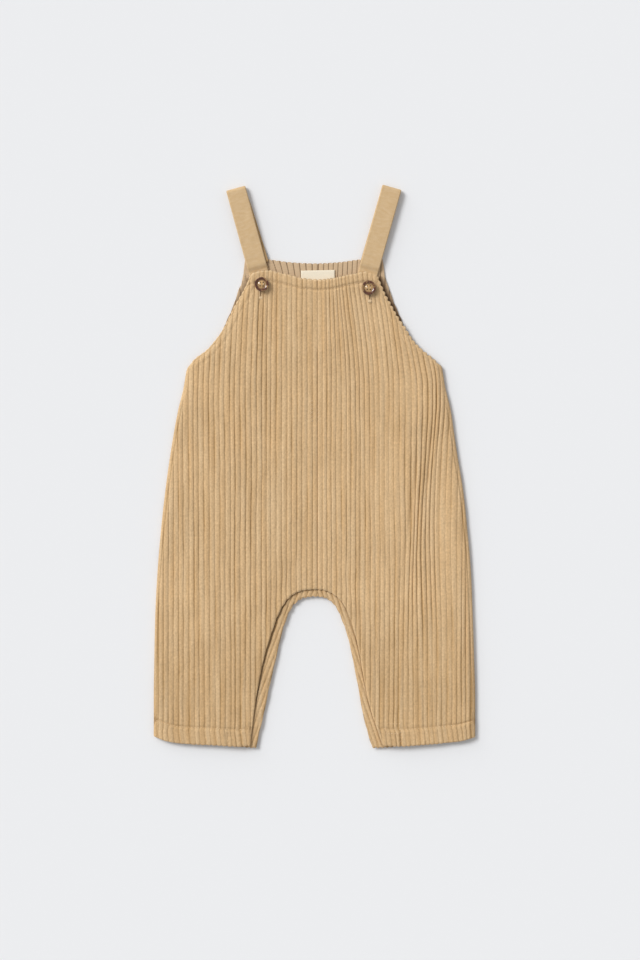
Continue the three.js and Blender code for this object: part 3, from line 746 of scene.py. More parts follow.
class FrontShape:
    """Outline and heights of one half of the front, in millimetres."""

    def __init__(self, side, wale):
        self.side, self.wale = side, wale
        self.top = edge(side, SIDE_SEAM, FRONT_ARMHOLE, BIB_TOP)
        self.bottom = edge(side, LEG_HEM_EDGE[side], FRONT_INSEAM, FRONT_CROTCH)
        self.seam_x = SEAM_X + SIGN[side] * SEAM_SHOWN
        self.side_x = SIGN[side] * SIDE_SEAM[side][0]
        self.corner_x = FRONT_ARMHOLE[side][-1]
        button_x, button_y = BUTTON_PLACE[side]
        self.buttonhole = (button_x + BUTTONHOLE_SHIFT[side], button_y - BUTTONHOLE_REACH)
        self.edge_lift = curve_through(EDGE_LIFT["x"], EDGE_LIFT["lift"])
        self.bows = [
            (curve_through(BOW_Y, bow["travel"]), bow["begins"], bow["full"]) for bow in BOWS[side]
        ]
        self.folds = rows_of(FOLD_COLUMNS, FOLDS[side])
        self.pressed = rows_of(PRESSED_COLUMNS, PRESSED[side])
        corner, inseam = SIGN[side] * self.corner_x, SIGN[side] * FRONT_INSEAM[side][0]
        self.bib_line = self.stretch(self.top, corner, self.seam_x, 30)
        self.hem_line = self.stretch(self.bottom, self.side_x, inseam, 20)
        self.arch_line = self.stretch(self.bottom, inseam, self.seam_x, 60)
        roll_x, roll_y = self.stretch(self.top, self.side_x, corner, 160)
        start_x, start_y = [self.side_x] * 2, [-HALF_LENGTH, SIDE_SEAM["y"][0]]
        self.roll_line = (np.append(start_x, roll_x), np.append(start_y, roll_y))

    def stretch(self, curve, start, end, count):
        """Line of points along an edge, from one x to another."""
        x = np.linspace(start, end, count)
        return x, curve(x)

    def drawn(self, x, y):
        """Where a wale lies after the folds and the bib's gathers have drawn it sideways."""
        pull = 0.5 * soft_noise(x, y, 5.5, 300, 7) + 0.45 * soft_noise(x, y, 20, 80, 5)
        pull = pull + 0.16 * soft_noise(x, y, 8, 24, 6) + 0.16 * soft_noise(x, y, 4.6, 11, 9)
        for fold in self.folds:
            across, reach = bell(x, y, fold)
            pull = pull - fold["draw"] * across * fold["half_width"] * reach
        for travel, begins, full in self.bows:
            reach = smooth_step((np.abs(x) - begins) / (full - begins))
            pull = pull + travel(y) * SIGN[self.side] * reach
        in_hem = smooth_step((LEG_HEM_DEPTH + HEM_Y - y) / 3.0)
        pull = pull + in_hem * (0.9 + 0.8 * soft_noise(x, y, 30, 400, 8)) * SIGN[self.side]
        pull = pull + in_hem * HEM_LEAN * (LEG_HEM_DEPTH + HEM_Y - y)
        to_edge = np.minimum(np.abs(x - self.seam_x), np.abs(x - self.side_x))
        return x + pull * np.clip(to_edge / ROLL_WIDTH, 0, 1)

    def inside(self, x, from_roll):
        """Height of the cloth's inner face, which comes down to the back at the rolled side."""
        roll = np.clip(from_roll / ROLL_WIDTH, 0, 1)
        rise = np.sqrt(1 - (1 - roll) ** 2)
        low = self.edge_lift(np.abs(x))
        return BACK_WALL + low + (LOFT - low) * rise

    def sewn_hems(self, x, y, from_hem, from_bib, in_armhole):
        """How far the turned hems stand up, and how far their stitching sinks in."""
        raised, sunk = np.zeros_like(x), np.zeros_like(x)
        for inward, depth, lift, sink in (
            (from_hem, LEG_HEM_DEPTH, 0.5, 0.8),
            (from_bib, BIB_HEM_DEPTH, 0.45, 0.85),
            (in_armhole, ARMHOLE_HEM_DEPTH, 0.25, 0.22),
        ):
            raised = np.maximum(raised, lift * smooth_step((depth - inward) / 1.6 + 0.5))
            sunk = np.maximum(sunk, sink * dip(inward - depth, 1.0))
        joint = dip(np.abs(x) - HEM_JOINT, 0.8) * smooth_step((LEG_HEM_DEPTH - from_hem) / 1.5)
        return raised, np.maximum(sunk, 0.7 * joint * (y < -200))

    def folded(self, x, y):
        """Height of the folds and of the cloth's own small swells."""
        folds = np.zeros_like(x)
        for fold in self.folds:
            _, reach = bell(x, y, fold)
            folds = folds + fold["height"] * reach
        return folds + 0.22 * soft_noise(x, y, 34, 70, 11) + 0.12 * soft_noise(x, y, 12, 26, 12)

    def fullness(self, x, y, wale, near_seam, from_roll):
        """How much of its full height the pile has at each point."""
        gain = 1.0 + 0.26 * soft_noise(wale * 1.7, y, 1.0, 60, 21) + 0.14 * soft_noise(x, y, 8, 9, 22)
        for patch in self.pressed:
            _, reach = bell(x, y, patch)
            gain = gain + patch["gain"] * reach
        gain = WALE_GAIN * gain * (1 - near_seam)
        return np.clip(gain, 0.25, 2.0) * (0.45 + 0.55 * smooth_step((from_roll - 1.0) / 3.0))

    def heights(self, x, y, wale):
        """Inside and outside of the cloth at each point, and how high the pile stands there."""
        from_roll = distance_to(*self.roll_line, x, y)
        from_bib = distance_to(*self.bib_line, x, y)
        from_hem = distance_to(*self.hem_line, x, y)
        from_arch = distance_to(*self.arch_line, x, y)
        in_armhole = np.where(y > SIDE_SEAM["y"][-1] - 2, from_roll, 1e3)
        inner = self.inside(x, from_roll)
        raised, sunk = self.sewn_hems(x, y, from_hem, from_bib, in_armhole)
        folds = self.folded(x, y)
        hole_x, hole_y = self.buttonhole
        slit = dip(x - hole_x, 0.45) * smooth_step((y - hole_y - 2.5) / 1.0)
        slit = slit * smooth_step((hole_y + 14 - y) / 2.0)
        # The side seam's own line shows as a groove along the rolled edge
        edge_groove = dip(from_roll - 3.1, 0.65) * smooth_step((70 - y) / 20)
        roll = smooth_step(from_roll / ROLL_WIDTH)
        flat_seam = smooth_step((y - FLAT_SEAM[0]) / FLAT_SEAM_BLEND)
        flat_seam = flat_seam * smooth_step((FLAT_SEAM[1] - y) / FLAT_SEAM_BLEND)
        near_seam = smooth_step((5.2 - np.abs(x - self.seam_x)) / 1.5) * (0.25 + 0.5 * flat_seam)
        gain = self.fullness(x, y, wale, near_seam, from_roll)
        # Grooves are of uneven width and darkness along their length
        groove = np.round(wale) * 1.7
        nap = wale_height(wale % 1.0, WALE_ROUNDNESS + 0.14 * soft_noise(groove, y, 1.0, 22, 25))
        pile_height = self.wale * nap * gain * (1 - 0.75 * sunk)
        groove_tone = 1.0 + 0.5 * soft_noise(groove, y, 1.0, 34, 26)
        groove_tone = groove_tone + 0.25 * soft_noise(groove, y, 1.0, 9, 27)
        tufts = 0.10 * soft_noise(x, y, 2.2, 3.4, 23) + 0.08 * soft_noise(x, y, 1.3, 1.9, 24)
        # Turned edges are round: the outside comes down and the inside up
        open_edge = np.minimum(np.minimum(from_bib, from_hem), np.minimum(from_arch, in_armhole))
        nearest = np.minimum(open_edge, from_roll)
        over_round = edge_drop(nearest, 1.7)
        under_round = 0.35 * edge_drop(open_edge, 0.9)
        seam = 0.5 * dip(x - self.seam_x, 0.8) * (1 - 0.6 * flat_seam)
        outer = inner + GROOVE_WALL + raised - sunk + folds * roll + pile_height + tufts * nap
        outer = outer - over_round - seam - 0.55 * edge_groove - 0.9 * slit
        # Painted shade: the grooves darken towards the darker groove colour, the more the fuller the pile
        shown = 1 - (1 - nap) * np.clip(gain * groove_tone, 0, 1.7)
        # Painted shade in the side seam's groove, the buttonhole's slit and the sunk stitch lines
        shown = shown * (1 - 0.7 * np.clip(edge_groove, 0, 1)) * (1 - 0.8 * slit) * (1 - 0.25 * sunk)
        # Painted highlight: near open edges the ribs go over 1, into the tips colour
        shown = shown + 0.5 * dip(open_edge, 1.3) * nap
        # The legs are painted darker towards the bottom, as painted shade for light that falls off there, and
        # the ribs of their hems a little paler
        shown = shown * (1 - 0.36 * smooth_step((-70 - y) / 130))
        shown = shown + 0.03 * smooth_step((LEG_HEM_DEPTH - from_hem) / 2)
        return inner + under_round, np.maximum(outer, inner + 0.55), shown


def cloth_map(wales, y):
    """UV of the corduroy: one unit a wale across, and as long a unit down."""
    return np.stack([wales, y / WALE_PITCH], 2)


# Tone of the cloth's wrong side where nothing is seen of it
PLAIN_NAP = 0.6


def build_front(side, sizes):
    shape = FrontShape(side, sizes.wale_height / MM)
    count = WALES[side]

    def net(wales, rows):
        x = place_wales(wales, count, shape.seam_x, shape.side_x)
        low = meet_edge(shape.bottom, x, shape.drawn, -HALF_LENGTH, -80.0)
        high = meet_edge(shape.top, x, shape.drawn, -HALF_LENGTH, 185.0)
        low_slope = steepness(shape.bottom, shape.drawn(x, low), 6)
        high_slope = steepness(shape.top, shape.drawn(x, high), 9)
        nap = wale_height(wales % 1.0)
        swell = sizes.scallop / MM * (nap - 0.5) * smooth_step((UNDERARM_X - np.abs(x)) / 6)
        low = low - 0.5 * swell * np.minimum(low_slope, 1.6)
        bound = smooth_step((np.abs(x) - shape.corner_x - 1) / 3) * smooth_step((UNDERARM_X - np.abs(x)) / 6)
        clear = BUMP_CLEAR[side] * np.minimum(high_slope, 2.8)
        high = high + (1 - bound) * swell * np.minimum(high_slope, 1.7) - bound * clear
        y = place_rows(low, high, rows, low_slope, high_slope)
        return shape.drawn(x[:, None] + 0 * y, y), y, wales[:, None] + 0 * y

    rows = sizes.front_rows
    x, y, wale = net(wale_coordinates(count), rows)
    _, outer, nap = shape.heights(x, y, wale)
    plain_x, plain_y, plain_wale = net(np.arange(count + 1.0), rows)
    inner, _, _ = shape.heights(plain_x, plain_y, plain_wale)
    piece = wall_object(
        f"front_{side}_cloth", np.stack([x, y, outer], 2), np.stack([plain_x, plain_y, inner], 2),
        cloth_map(wale, y), cloth_map(plain_wale, plain_y),
        nap, np.full_like(plain_x, PLAIN_NAP), [pile(), wrong_side()],
    )
    settle(piece, "corduroy", f"front_{side}")
    area = plan_area(shape.bottom, shape.top, shape.seam_x, shape.side_x)
    return piece


def build_turned_edge(side, sizes):
    """Edge of the armhole's turned hem: its ribs cross the edge and show as a row of soft bumps."""
    shape = FrontShape(side, sizes.wale_height / MM)
    line_x = SIGN[side] * np.linspace(shape.corner_x + 0.6, 114.5, 1200)
    line_y = shape.top(line_x)
    length = np.concatenate([[0], np.cumsum(np.hypot(np.diff(line_x), np.diff(line_y)))])
    at = np.arange(0, length[-1], 0.4)
    x, y = np.interp(at, length, line_x), np.interp(at, length, line_y)
    dx, dy = np.gradient(x), np.gradient(y)
    out = np.stack([-SIGN[side] * dy, SIGN[side] * dx], 1) / np.hypot(dx, dy)[:, None]
    least, more = BUMP[side]
    uneven = 1 + 0.25 * soft_noise(at, 0 * at, 9, 9, 61)
    swell = np.abs(np.sin(math.pi * at / ARMHOLE_PITCH + 0.5 * soft_noise(at, 0 * at, 14, 9, 62)))
    radius = (least + more * swell * uneven) * smooth_step(at / 3)
    radius = radius * smooth_step((at[-1] - at) / 3) + 0.1
    reach = least + 0.62 * more
    centre = np.stack([x, y], 1) - out * reach
    inner, _, _ = shape.heights(centre[:, 0], centre[:, 1], 0 * x)
    middle = inner + GROOVE_WALL / 2 + 0.25
    angles = np.linspace(0, 2 * math.pi, 12, endpoint=False)
    rings = np.empty((len(at), len(angles), 3))
    rings[:, :, :2] = centre[:, None] + out[:, None] * (radius[:, None] * np.cos(angles))[:, :, None]
    tall = np.minimum(radius, 1.15)
    rings[:, :, 2] = middle[:, None] + tall[:, None] * np.sin(angles)
    uv = np.stack([np.repeat(at / ARMHOLE_PITCH, len(angles)), np.tile(angles / 3, len(at))], 1)
    # Painted shade and highlight: darker between the bumps, and over 1, into the tips colour, on their
    # crests, most on the outer side
    nap = 0.3 + 1.05 * swell[:, None] * (0.75 + 0.25 * np.cos(angles))
    inside_out = side == "right"
    piece = tube_object(f"armhole_turned_edge_{side}", rings, pile(), uv, nap, inside_out)
    settle(piece, "corduroy")
    return piece


def build_back(side, sizes):
    """Half of the back: wales pressed flat against the surface below, wrong side up."""
    top = edge(side, SIDE_SEAM, BACK_ARMHOLE, NECKLINE)
    bottom = edge(side, LEG_HEM_EDGE[side], BACK_INSEAM, BACK_CROTCH)
    seam_x = SEAM_X + SIGN[side] * SEAM_SHOWN
    side_x = SIGN[side] * SIDE_SEAM[side][0]
    outline_x = np.linspace(side_x, seam_x, 240)
    line_x = np.concatenate([[side_x], outline_x, outline_x[::-1]])
    line_y = np.concatenate([[bottom(side_x)], top(outline_x), bottom(outline_x[::-1])])
    count = WALES[side]

    def net(points, rows):
        wales = wale_coordinates(count, points)
        x = place_wales(wales, count, seam_x, side_x)
        high_slope = steepness(top, x, 9)
        swell = sizes.scallop / MM * (wale_height(wales % 1.0) - 0.5) * (np.abs(x) < 100)
        clear = ARMHOLE_CLEAR[side] * smooth_step((UNDERARM_X - np.abs(x)) / 8)
        clear = clear * smooth_step((np.abs(x) - 80) / 6)
        high = top(x) + 0.6 * swell * np.minimum(high_slope, 1.5) - clear * np.minimum(high_slope, 2.0)
        y = place_rows(bottom(x), high, rows, steepness(bottom, x, 6), high_slope)
        x, wales = x[:, None] + 0 * y, wales[:, None] + 0 * y
        return x, y, wales, distance_to(line_x, line_y, x, y)

    rows = sizes.back_rows
    x, y, wales, inward = net(np.arange(8) / 8, rows)
    # Near the neckline the grain is drawn askew
    slant = 0.32 * np.clip(-x / 45, -0.15, 1) * np.clip(y - 160, 0, 40) / (abs(side_x) / count)
    line = 1 - dip((wales + slant + 0.5) % 1.0 - 0.5, 0.15)
    front = FrontShape(side, 1.0)
    # Painted shade: beside the front's armhole edge, where the bib stands over it, the wrong side darkens
    # towards the line colour
    shaded = dip(distance_to(*front.roll_line, x, y), 6.0) * (y > 104) * (y < 176)
    line = np.minimum(line, 1 - 0.5 * shaded) * (1 - CREVICE_SHADE[side] * shaded)
    over_z = BACK_WALL - 0.18 * (1 - line) - 0.5 * edge_drop(inward, 0.9)
    over_z = over_z + 0.05 * soft_noise(x, y, 14, 14, 31)
    over_z = np.minimum(over_z, BACK_WALL)
    fx, fy, fw, f_inward = net(np.array([0.0, 0.1, 0.5, 0.9]), rows)
    pressed = sizes.pressed_depth / MM * (1 - wale_height(fw % 1.0))
    lift = 0.7 * edge_drop(f_inward, 1.6)
    hem_line = 0.25 * dip(fy - bottom(fx) - LEG_HEM_DEPTH, 0.8) * (np.abs(fx) > 60)
    under_z = np.clip(pressed + lift + hem_line, 0, BACK_WALL - 0.75)
    # The underside has the pile, and the upper side is the cloth's wrong side
    piece = wall_object(
        f"back_{side}_cloth", np.stack([x, y, over_z], 2), np.stack([fx, fy, under_z], 2),
        cloth_map(wales, y), cloth_map(fw, fy),
        line, wale_height(fw % 1.0), [wrong_side(), pile()], rim=1,
    )
    settle(piece, "corduroy", f"back_{side}")
    area = plan_area(bottom, top, seam_x, side_x)
    return piece


def facing_edges(side):
    """Lower and upper edge of the inseam facing, how far out it reaches at the hem, and the length
    of its middle line."""
    bottom = edge(side, LEG_HEM_EDGE[side], BACK_INSEAM, BACK_CROTCH)
    outer_x = np.append(SIGN[side] * np.array(BACK_INSEAM[side], float), 0.0)
    outer_y = np.append(np.array(BACK_INSEAM["y"], float), BACK_CROTCH["y"][0])
    before = np.maximum(np.arange(len(outer_x)) - 1, 0)
    after = np.minimum(np.arange(len(outer_x)) + 1, len(outer_x) - 1)
    dx, dy = outer_x[after] - outer_x[before], outer_y[after] - outer_y[before]
    length = np.hypot(dx, dy)
    inner_x = outer_x + dy / length * SIGN[side] * FACING_WIDTH
    inner_y = outer_y - dx / length * SIGN[side] * FACING_WIDTH
    inner_x[-1], inner_y[-1] = outer_x[-1], outer_y[-1] + FACING_WIDTH
    top = curve_through(np.append(inner_x, -SIGN[side] * 2 * SEAM_X), np.append(inner_y, inner_y[-1]))
    along = float(np.hypot(np.diff(outer_x + inner_x), np.diff(outer_y + inner_y)).sum()) / 2
    return bottom, top, inner_x[0], along


def build_facing(side, sizes):
    """Facing of the back's inseam, turned in so that its pile faces up beside the front's edge."""
    bottom, top, hem_x, along = facing_edges(side)
    seam_x = SEAM_X + SIGN[side] * SEAM_SHOWN
    floor = BACK_WALL + SEAM_GAP
    line_x = np.linspace(hem_x, seam_x, 120)
    line_y = bottom(line_x)

    def net(points):
        wales = wale_coordinates(FACING_WALES, points)
        x = place_wales(wales, FACING_WALES, seam_x, hem_x)
        bulge = sizes.scallop / MM * (0.5 - wale_height(wales % 1.0))
        low = bottom(x) + bulge * np.minimum(steepness(bottom, x, 3), 2.0) * 0.8
        high = np.maximum(top(x), low + 1.5)
        near = steepness(bottom, x, 6)
        room = (high - low) / 7
        far = np.minimum(1 + 0 * near, room)
        y = place_rows(low, high, sizes.facing_rows, np.minimum(near, room), far)
        return x[:, None] + 0 * y, y, wales[:, None] + 0 * y

    x, y, wales = net(WALE_POINTS)
    inward = distance_to(line_x, line_y, x, y)
    # The strip is cut on the slant, so that its ribs lean with the leg
    front = FrontShape(side, 1.0)
    leaning = (wales + SIGN[side] * FACING_LEAN * (y + 190) / FACING_PITCH) % 1.0
    nap = wale_height(leaning)
    gap = distance_to(*front.arch_line, x, y)
    under_front = y > front.bottom(x)
    least, more = GAPE[side]
    gape = least + more * dip(y + 172, 30)
    shaded_valley = np.where(under_front, 1.0, dip(gap, gape)) * (0.45 + 0.55 * (gape > 0.6))
    teeth = 0.25 * np.sin(y * 2 * math.pi / 4.2) * dip(inward, 1.8)
    z = floor + FACING_WALL + 0.9 * nap * (1 - shaded_valley) - 0.7 * shaded_valley
    z = z - 0.9 * edge_drop(inward, 1.6) + teeth
    # Painted shade under the front's edge: the ribs darken towards the darker groove colour
    nap = nap * (1 - 0.9 * shaded_valley)
    ux, uy, uw = net(np.array([0.0]))
    over = np.stack([x, y, np.maximum(z, floor + 0.4)], 2)
    under = np.stack([ux, uy, np.full_like(ux, floor)], 2)
    # The map is moved aside, so that the facing's tones aren't those of the front's first wales
    piece = wall_object(
        f"facing_{side}_cloth", over, under, cloth_map(wales + 7.3, y), cloth_map(uw, uy),
        nap, np.full_like(ux, PLAIN_NAP), [pile(), wrong_side()],
    )
    settle(piece, "corduroy", f"facing_{side}")
    # The strip's area in plan
    area = plan_area(bottom, lambda x: np.maximum(top(x), bottom(x) + 1.5), seam_x, hem_x)
    return piece


def strap_path(side):
    """The strap's middle line from its rear end, over the folded top and down behind the bib."""
    strap = STRAPS[side]
    lean = math.radians(strap["lean"])
    half = STRAP_THICKNESS / 2
    fold_y = strap["reach"] - STRAP_WIDTH / 2 * math.sin(lean)
    on_back = BACK_WALL + SEAM_GAP + half
    layers = STRAP_THICKNESS + STRAP_GAP

    def line_x(y):
        return strap["neck_x"] + (y - STRAP_NECK_Y) * math.tan(lean)

    def rear_x(y):
        return line_x(y) - strap["rear_shift"] * (fold_y - y) / (fold_y - STRAP_NECK_Y)

    points = [(rear_x(y), y, half + lift * (on_back - half)) for y, lift in REAR_HEIGHTS]
    turn = (layers + STRAP_OPEN) / 2
    front_z = half + layers + STRAP_OPEN
    turn_y = fold_y - (turn + half) * math.cos(lean)
    points.append((line_x(turn_y - 6), turn_y - 6, half))
    for i in range(9):
        angle = math.pi * i / 8
        y = turn_y + turn * math.sin(angle) * math.cos(lean)
        points.append((line_x(y), y, half + turn - turn * math.cos(angle)))
    points.append((line_x(turn_y - 6), turn_y - 6, front_z))
    # The front layer stays up near the fold, then lies over the strap's own end, then on the back
    front = [(238, front_z), (225, front_z), (213, front_z), (205, half + layers + 0.9 * STRAP_OPEN)]
    front += [(195, on_back + layers + 0.2), (190, on_back + layers), (185.5, on_back + layers)]
    front += [(180.4, on_back), (175, on_back), (168, on_back)]
    points += [(line_x(y), y, z) for y, z in front]
    points.append((strap["end"][0], strap["end"][1], on_back))
    return np.array([(SIGN[side] * x, y, z) for x, y, z in points])


def build_strap(side):
    """Doubled band, pressed flat with soft edges, folded over itself at the top."""
    path = strap_path(side)
    gaps = np.hypot(*np.diff(path[:, [1, 2]], axis=0).T)
    length = np.concatenate([[0], np.cumsum(np.linalg.norm(np.diff(path, axis=0), axis=1))])
    # Rings of points about 1.2 mm apart
    stretches = [
        np.linspace(start, end, max(int(gap / 1.2), 2), endpoint=False)
        for start, end, gap in zip(length[:-1], length[1:], gaps)
    ]
    stations = np.concatenate(stretches + [length[-1:]])
    line = np.stack([curve_through(length, path[:, k])(stations) for k in range(3)], 1)
    lean = math.radians(STRAPS[side]["lean"])
    across = np.array([math.cos(lean), -SIGN[side] * math.sin(lean), 0.0])
    tangent = np.gradient(line, axis=0)
    normal = np.cross(across, tangent)
    normal /= np.linalg.norm(normal, axis=1)[:, None]
    half_w, half_t = STRAP_WIDTH / 2, STRAP_THICKNESS / 2
    # Section: flat faces with a sewn-edge hollow beside the round edges
    sides = np.concatenate([np.linspace(-1, -0.86, 4), np.linspace(-0.8, 0.8, 13), np.linspace(0.86, 1, 4)])
    lift = np.sqrt(1 - np.clip((np.abs(sides) - 0.88) / 0.12, 0, 1) ** 2)
    hollow = 0.04 * dip(np.abs(sides) - 0.8, 0.05)
    upper = np.stack([sides * half_w, (lift - hollow) * half_t], 1)
    lower = np.stack([sides[::-1] * half_w, -(lift - hollow)[::-1] * half_t], 1)[1:-1]
    section = np.vstack([upper, lower])
    rings = line[:, None, :] + section[None, :, :1] * across + section[None, :, 1:] * normal[:, None, :]
    wave = 0.12 * soft_noise(rings[:, :, 0] * 1.3, rings[:, :, 1], 7, 11, 41 + len(side))
    rings[:, :, 2] = np.maximum(rings[:, :, 2] + wave * (rings[:, :, 2] > half_t * 2 + 0.5), 0.0)
    n, m = rings.shape[:2]
    uv = np.stack([np.tile(section[:, 0] / half_w, n), np.repeat(stations / 25, m)], 1)
    # Painted shade: the rear layer beyond the fold darkens towards the darker groove colour, and the
    # sewn-edge hollows a little
    turned = np.clip((length[len(REAR_HEIGHTS)] - stations) / 4, 0, 1)
    nap = 1 - np.tile(np.append(hollow, hollow[::-1][1:-1]), n) * 4 - 0.8 * np.repeat(turned, m)
    material = shared("cotton_strap_brushed", brushed_strap)
    piece = tube_object(f"strap_{side}_cloth", rings, material, uv, nap)
    settle(piece, "strap_band", f"strap_{side}")
    return piece


# Sewing and trim


def thread_mesh(name, runs, radius, sides=6):
    """Short pieces of thread joined in one mesh. Each run is an array of points, in millimetres,
    that the thread follows; it thins to a point where it dives into the cloth."""
    points, faces = [], []
    for run in runs:
        run = np.asarray(run, float)
        tangent = np.gradient(run, axis=0)
        tangent /= np.linalg.norm(tangent, axis=1)[:, None]
        sideways = np.cross(tangent, (0.0, 0.0, 1.0))
        flat = np.linalg.norm(sideways, axis=1) < 1e-6
        sideways[flat] = (1.0, 0.0, 0.0)
        sideways /= np.linalg.norm(sideways, axis=1)[:, None]
        upward = np.cross(sideways, tangent)
        start = len(points)
        last = len(run) - 1
        for i, place in enumerate(run):
            thick = radius * (0.35 if i in (0, last) else 1.0)
            for k in range(sides):
                angle = 2 * math.pi * k / sides
                around = math.cos(angle) * sideways[i] + math.sin(angle) * upward[i]
                points.append(place + thick * around)
        for i in range(last):
            a, b = start + i * sides, start + (i + 1) * sides
            for k in range(sides):
                j = (k + 1) % sides
                faces.append((a + k, a + j, b + j, b + k))
        faces.append([start + k for k in range(sides)][::-1])
        faces.append([start + last * sides + k for k in range(sides)])
    return mesh_object(name, np.array(points), faces, [shared("spun_polyester_thread", sewing_thread)])


def stitches_along(line_x, line_y, height, pitch, radius):
    """Runs of thread for the stitches of one seam, each arched over the cloth between two needle
    holes. Height gives the cloth's surface at a point."""
    length = np.concatenate([[0], np.cumsum(np.hypot(np.diff(line_x), np.diff(line_y)))])
    runs = []
    for i in range(int(length[-1] / pitch)):
        at = (i + np.linspace(0.5 - STITCH_SHOWN / 2, 0.5 + STITCH_SHOWN / 2, 5)) * pitch
        x, y = np.interp(at, length, line_x), np.interp(at, length, line_y)
        z = height(x, y) + radius * np.array([-0.6, 0.5, 0.7, 0.5, -0.6])
        runs.append(np.stack([x, y, z], 1))
    return runs


def front_surface(shape):
    """The height of the front's outside over a point, as a function."""
    count = WALES[shape.side]

    def height(x, y):
        x, y = np.asarray(x, float), np.asarray(y, float)
        x0, x1 = min(shape.seam_x, shape.side_x), max(shape.seam_x, shape.side_x)
        return shape.heights(x, y, (x - x0) / (x1 - x0) * count)[1]

    return height


def build_hem_stitching(side, sizes):
    """Stitch lines of the bib's hem, the leg's hem, and its facing seam with the box at its end."""
    shape = FrontShape(side, sizes.wale_height / MM)
    height = front_surface(shape)
    radius, pitch = sizes.thread / MM / 2, sizes.stitch / MM
    sign = SIGN[side]
    bib_x = np.linspace(sign * 50, shape.seam_x + sign * 1.5, 60)
    hem_x = np.linspace(sign * 147, sign * 63, 60)
    joint_x = np.full(20, sign * HEM_JOINT)
    hem_y = shape.bottom(joint_x[0])
    lines = [
        (bib_x, shape.top(bib_x) - BIB_HEM_DEPTH),
        (hem_x, shape.bottom(hem_x) + LEG_HEM_DEPTH),
        (joint_x, np.linspace(hem_y + LEG_HEM_DEPTH - 1, hem_y + 2, 20)),
    ]
    if side == "right":
        lines.append(np.array(TACK_BOX, float).T)
    runs = [run for line in lines for run in stitches_along(*line, height, pitch, radius)]
    piece = thread_mesh(f"hem_stitching_{side}", runs, radius)
    settle(piece, "corduroy")
    return piece


def build_centre_stitching(sizes):
    """Bar of cross stitches over the centre seam, where the bib's flat band ends below the waist."""
    shape = FrontShape("left", sizes.wale_height / MM)
    height = front_surface(shape)
    radius = 0.4 * sizes.thread / MM
    runs = []
    # Six rows from just above the waist, each of two crossed stitches and one beside them
    for y in 42 + 3.6 * np.arange(6):
        for low, high in ((-4.0, -1.0), (-1.0, -4.0), (2.6, 5.4)):
            t = np.linspace(0, 1, 7)
            x = low + (high - low) * t
            line = y + (t - 0.5) * 2.4
            z = height(x, line) + radius * np.array([-0.8, 0.0, 0.2, 0.2, 0.2, 0.0, -0.8])
            runs.append(np.stack([x, line, z], 1))
    piece = thread_mesh("centre_seam_stitches", runs, radius)
    settle(piece, "corduroy")
    return piece


def build_buttonhole(side, sizes):
    """Vertical buttonhole under the button, worked in dense satin stitch round a narrow slit."""
    shape = FrontShape(side, sizes.wale_height / MM)
    height = front_surface(shape)
    x0, low = shape.buttonhole
    runs = []
    # Satin stitches down both sides of the slit, then the bar tack across its lower end
    for sign in (-1, 1):
        for y in np.arange(low + 2.4, low + 14, 0.66):
            x = x0 + sign * np.array([0.35, 0.8, 1.25, 1.7])
            top = float(height(x0 + sign * 1.2, y))
            runs.append(np.stack([x, np.full(4, y), top + np.array([-0.3, 0.3, 0.3, -0.3])], 1))
    for i in range(6):
        x = x0 - 1.25 + i * 0.5
        top = float(height(x0 + 1.0, low))
        ys = low + np.array([-1.6, -0.6, 1.2, 2.4])
        runs.append(np.stack([np.full(4, x), ys, top + np.array([-0.2, 0.5, 0.5, -0.2])], 1))
    piece = thread_mesh(f"buttonhole_{side}", runs, SATIN_THREAD)
    settle(piece, "corduroy")
    return piece


